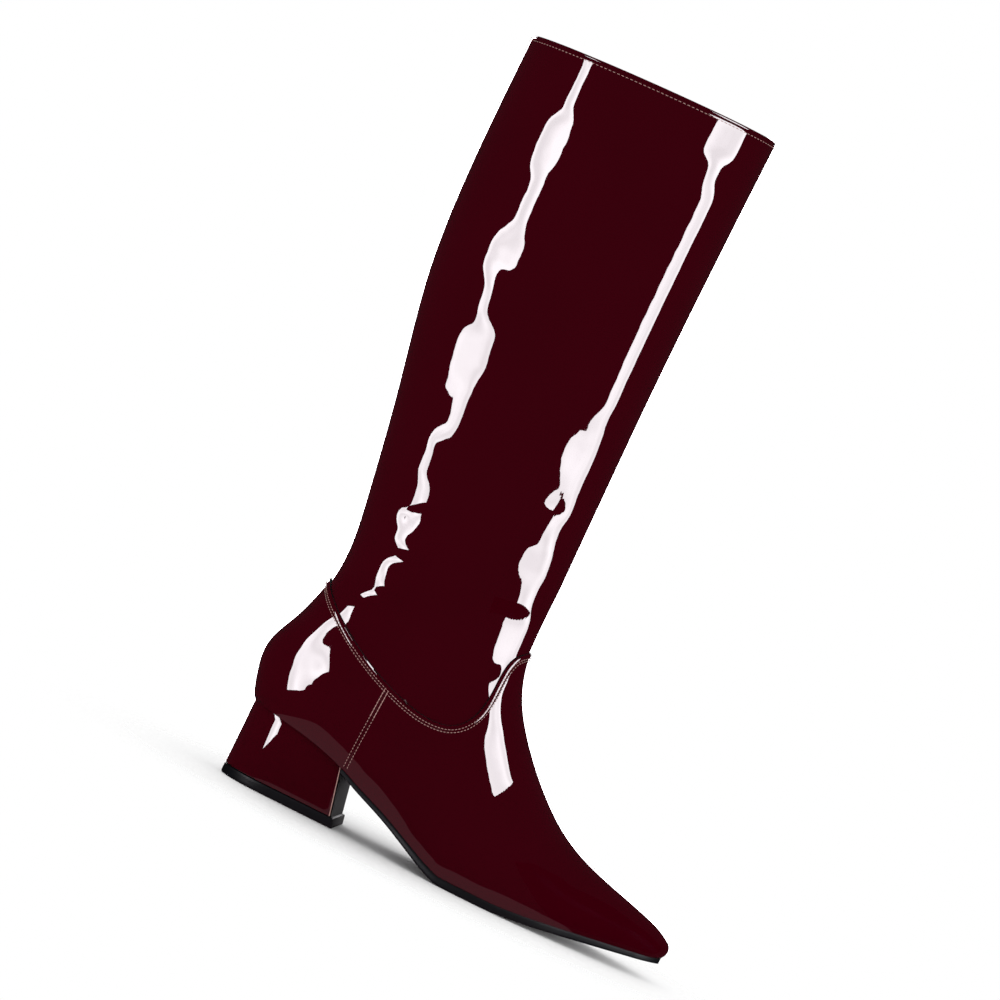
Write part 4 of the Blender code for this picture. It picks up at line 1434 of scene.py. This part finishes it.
def shaped_box(cuts, place):
    """A cube cut evenly along its three directions, with each corner put where place(u, v, w) says."""
    bm = bmesh.new()
    bmesh.ops.create_cube(bm, size=1.0, matrix=Matrix.Translation((0.5, 0.5, 0.5)))
    for axis, count in enumerate(cuts):
        normal = Vector((0, 0, 0))
        normal[axis] = 1
        for k in range(1, count):
            everything = bm.verts[:] + bm.edges[:] + bm.faces[:]
            bmesh.ops.bisect_plane(bm, geom=everything, plane_co=normal * k / count, plane_no=normal)
    for vert, co in zip(bm.verts, in_metres(place(*np.array([vert.co[:] for vert in bm.verts]).T))):
        vert.co = co
    bmesh.ops.remove_doubles(bm, verts=bm.verts, dist=1e-6)
    bmesh.ops.recalc_face_normals(bm, faces=bm.faces)
    return bm


def sole_place(u, v, w):
    """u runs from the heel's breast to the toe, v from the outer to the inner side, w from low to high."""
    toe_x = FEATHER_TOE_X + SOLE_OVERHANG - SOLE_TOE_TRIM
    x = SOLE_HEEL_X + (toe_x - SOLE_HEEL_X) * np.sin(math.pi / 2 * u)
    trim = SOLE_EDGE_ROUND * (1 - np.sqrt(np.clip(1 - (2 * w - 1) ** 4, 0.0, 1.0)))
    side = np.where(v < 0.5, OUTER, INNER)
    y = (2 * v - 1) * np.maximum(plan_half(x, side, -SOLE_OVERHANG) - trim, 0.0) + swing(x)
    return np.stack([x, y, seat_height(x) - GAP - sole_thickness(x) * (1 - w)], 1)


outsole = shaped_box((90, 12, 6), sole_place)
finish_piece("outsole_sheet", outsole, [rubber], replaces=["outsole"])

# %% [markdown]
# ## Breast facing and insole
#
# A thin painted board closes the heel's front between the ends of the wrap. It is another bent cube. The
# insole is hidden deep in the shaft, so it keeps its CAD shape and only takes the lining's cloth.

# %% Breast facing
# gaps to the top piece and the seat, how far the board is let in and stands out, and its side margins
FACING_LOW, FACING_HIGH, FACING_IN, FACING_OUT, FACING_SIDE = 0.1, 0.6, 0.2, 0.1, 0.7


def facing_place(u, v, w):
    """u runs forwards out of the heel, v across it and w up."""
    height = LIFT_HEIGHT + FACING_LOW + (seat_height(HEEL_TOP_X[1]) - FACING_HIGH - LIFT_HEIGHT) * w
    _, breast, half = heel_edges(height)
    x = breast - FACING_IN + (BREAST_FACING + FACING_OUT) * u
    return np.stack([x, (2 * v - 1) * (half - FACING_SIDE), height], 1)


finish_piece("breast_facing", shaped_box((2, 12, 8), facing_place), [facing], replaces=["heel_breast"])

# %% Insole keeps its CAD shape
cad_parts["insole"].data.materials.clear()
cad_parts["insole"].data.materials.append(lining)
print("insole", len(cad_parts["insole"].data.polygons), "faces")

# %% [markdown]
# ## Camera
#
# The photograph shows the boot tilted to the right. The boot here stands on its sole, so the camera is
# rolled instead. It stands a little above the middle of the boot and slightly towards the toe.

# %% Camera
CAMERA_YAW, CAMERA_RISE, CAMERA_DISTANCE, CAMERA_ROLL = 6.0, 2.0, 2.6, 25.8
SENSOR_WIDTH = 36.0
# width that the picture shows at the boot, in metres
FRAME_WIDTH = 0.546
AIM = Vector((0.0, 0.0, 0.22))
# how far the camera slides to the right and up, so that the boot stands in the middle
CENTRING = (-0.0505, 0.003)
camera = bpy.data.objects.new("camera", bpy.data.cameras.new("camera"))
camera.data.sensor_width = SENSOR_WIDTH
camera.data.lens = SENSOR_WIDTH / FRAME_WIDTH * CAMERA_DISTANCE
yaw, rise = math.radians(CAMERA_YAW), math.radians(CAMERA_RISE)
back = Vector((math.sin(yaw) * math.cos(rise), -math.cos(yaw) * math.cos(rise), math.sin(rise)))
roll = Matrix.Rotation(math.radians(CAMERA_ROLL), 4, "Z")
look = (-back).to_track_quat("-Z", "Y").to_matrix().to_4x4() @ roll
camera.location = AIM + back * CAMERA_DISTANCE + look.to_3x3() @ Vector((*CENTRING, 0.0))
camera.rotation_euler = look.to_euler()
bpy.context.scene.collection.objects.link(camera)
bpy.context.scene.camera = camera
print("camera at", [round(c, 3) for c in camera.location], "with a lens of", round(camera.data.lens), "mm")

# %% [markdown]
# ## Floor and light
#
# Two tall, narrow softboxes stand left and right of the camera, upright in the picture, so they are
# rolled with it. In the lacquer each gives one long white streak. Two more behind the boot light its
# other side. A dim light near the floor gives the pink band over the sole, and a black flag keeps the
# right softbox out of the toe. The floor is a small sheet of white paper whose edge fades out. A big
# floor would show in the lacquer, so this one is small, and mirrors do not see it.

# %% Floor
FLOOR_HALF = (0.26, 0.15, 1.0)
FLOOR_Z = -0.0002


def make_floor():
    """An oval of matte paper that fades out to the white of the studio."""
    bm = bmesh.new()
    bmesh.ops.create_circle(bm, cap_ends=True, segments=96, radius=1.0)
    bmesh.ops.scale(bm, verts=bm.verts, vec=FLOOR_HALF)
    bmesh.ops.translate(bm, verts=bm.verts, vec=(0.0, 0.0, FLOOR_Z))
    mesh = bpy.data.meshes.new("floor")
    bm.to_mesh(mesh)
    bm.free()
    material, shader = new_material("paper_white_matte")
    place = add_node(material, "ShaderNodeTexCoord")
    oval = add_node(material, "ShaderNodeVectorMath", {"operation": "DIVIDE"}, {
        0: (place, "Object"), 1: FLOOR_HALF})
    away = add_node(material, "ShaderNodeVectorMath", {"operation": "LENGTH"}, {0: (oval, "Vector")})
    fade = add_node(material, "ShaderNodeMapRange", {"interpolation_type": "SMOOTHSTEP"}, {
        "Value": (away, "Value"), "From Min": 0.2, "From Max": 0.95, "To Min": 1.0, "To Max": 0.0})
    set_inputs(material, shader, {
        "Base Color": linear("#F4F4F4"), "Roughness": 0.9, "Specular IOR Level": 0.1,
        "Alpha": (fade, "Result")})
    mesh.materials.append(material)
    floor = bpy.data.objects.new("floor", mesh)
    bpy.context.scene.collection.objects.link(floor)
    floor.visible_glossy = False
    print("floor", [2 * half for half in FLOOR_HALF[:2]], "m")


make_floor()

# %% Softboxes
RIGHT_AZIMUTH = 56
# name; degrees from the camera's axis; distance; width; low and high end over the aim; power
SOFTBOXES = [
    ("left_softbox", -46, 1.6, 0.36, -0.19, 1.24, 24),
    ("right_softbox", RIGHT_AZIMUTH, 1.5, 0.49, -1.3, 0.56, 42),
    ("back_left_softbox", -166, 1.6, 0.2, -0.6, 1.2, 12),
    ("back_right_softbox", 166, 1.6, 0.2, -0.6, 1.2, 12),
]
CLOTH_COLOUR, CLOTH_CLOUDS, CLOTH_RANGE = (1.0, 0.965, 1.0, 1.0), 2.4, (0.95, 1.25)


def area_light(name, shape, width, height, power):
    """An area light that shows in the lacquer but not in the picture."""
    light = bpy.data.lights.new(name, "AREA")
    light.shape = shape
    light.size, light.size_y = width, height
    light.energy = power
    lamp = bpy.data.objects.new(name, light)
    lamp.visible_camera = lamp.visible_diffuse = False
    bpy.context.scene.collection.objects.link(lamp)
    return lamp


def cloth_front(light):
    """The cloth in front of a softbox is not quite even, so its brightness wanders along it."""
    light.use_nodes = True
    place = add_node(light, "ShaderNodeNewGeometry")
    cloud = add_node(light, "ShaderNodeTexNoise", inputs={
        "Vector": (place, "Parametric"), "Scale": CLOTH_CLOUDS, "Detail": 0.0})
    even = add_node(light, "ShaderNodeMapRange", inputs={
        "Value": (cloud, "Fac"), "From Min": 0.3, "From Max": 0.7,
        "To Min": CLOTH_RANGE[0], "To Max": CLOTH_RANGE[1]})
    set_inputs(light, light.node_tree.nodes["Emission"], {
        "Color": CLOTH_COLOUR, "Strength": (even, "Result")})


def add_softbox(name, azimuth, distance, width, low, high, power):
    """A softbox that faces the boot and stands upright in the picture."""
    lamp = area_light(name, "RECTANGLE", width, high - low, power)
    cloth_front(lamp.data)
    turned = look @ Matrix.Rotation(math.radians(azimuth), 4, "Y")
    out, up = turned.to_3x3() @ Vector((0, 0, 1)), look.to_3x3() @ Vector((0, 1, 0))
    turned.translation = AIM + out * distance + up * (low + high) / 2
    lamp.matrix_world = turned


for softbox in SOFTBOXES:
    add_softbox(*softbox)
print("softboxes", len(SOFTBOXES))

# %% Light near the floor and the toe's flag
BOUNCE_SIZE, BOUNCE_POWER, BOUNCE_COLOUR = (0.50, 0.43), 0.16, (1.0, 0.57, 0.63)
# right, up and towards the camera from the aim, in metres
BOUNCE_PLACE = Vector((-0.26, -0.245, 0.04))
# the flag's place is across, up and towards the right softbox
FLAG_SIZE, FLAG_PLACE = (0.140, 0.188), Vector((-0.030, -0.236, 0.085))
bounce = area_light("floor_bounce", "ELLIPSE", *BOUNCE_SIZE, BOUNCE_POWER)
bounce.data.color = BOUNCE_COLOUR
bounce.matrix_world = look @ Matrix.Rotation(math.pi / 2, 4, "X")
bounce.matrix_world.translation = AIM + look.to_3x3() @ BOUNCE_PLACE

flag = bmesh.new()
bmesh.ops.create_grid(flag, x_segments=1, y_segments=1, size=0.5)
mesh = bpy.data.meshes.new("toe_flag")
flag.to_mesh(mesh)
flag.free()
velvet, shader = new_material("flag_black_velvet")
set_inputs(velvet, shader, {"Base Color": linear("#010101"), "Roughness": 1.0, "Specular IOR Level": 0.0})
mesh.materials.append(velvet)
flag = bpy.data.objects.new("toe_flag", mesh)
turned = look @ Matrix.Rotation(math.radians(RIGHT_AZIMUTH), 4, "Y")
flag.matrix_world = turned @ Matrix.Diagonal((*FLAG_SIZE, 1.0, 1.0))
flag.matrix_world.translation = AIM + turned.to_3x3() @ FLAG_PLACE
flag.visible_camera = flag.visible_diffuse = flag.visible_shadow = False
bpy.context.scene.collection.objects.link(flag)
print("flag", FLAG_SIZE, "m")

# %% [markdown]
# ## Studio walls
#
# The picture's ground is plain white. White walls all round would turn the lacquer grey, so the world is
# white for the camera, bright for soft light and almost black for mirrors.

# %% World
WORLD_SOFT, WORLD_MIRRORED = 1.15, 0.015
world = bpy.data.worlds.new("studio")
bpy.context.scene.world = world
world.use_nodes = True
path = add_node(world, "ShaderNodeLightPath")
bright = add_node(world, "ShaderNodeMath", {"operation": "MULTIPLY_ADD"}, {
    0: (path, "Is Diffuse Ray"), 1: WORLD_SOFT, 2: WORLD_MIRRORED})
seen = add_node(world, "ShaderNodeMath", {"operation": "MAXIMUM"}, {
    0: (path, "Is Camera Ray"), 1: (bright, "Value")})
set_inputs(world, world.node_tree.nodes["Background"], {
    "Color": linear("#FFFFFF"), "Strength": (seen, "Value")})
bpy.context.scene.view_settings.view_transform = "Standard"
print("world", world.name)
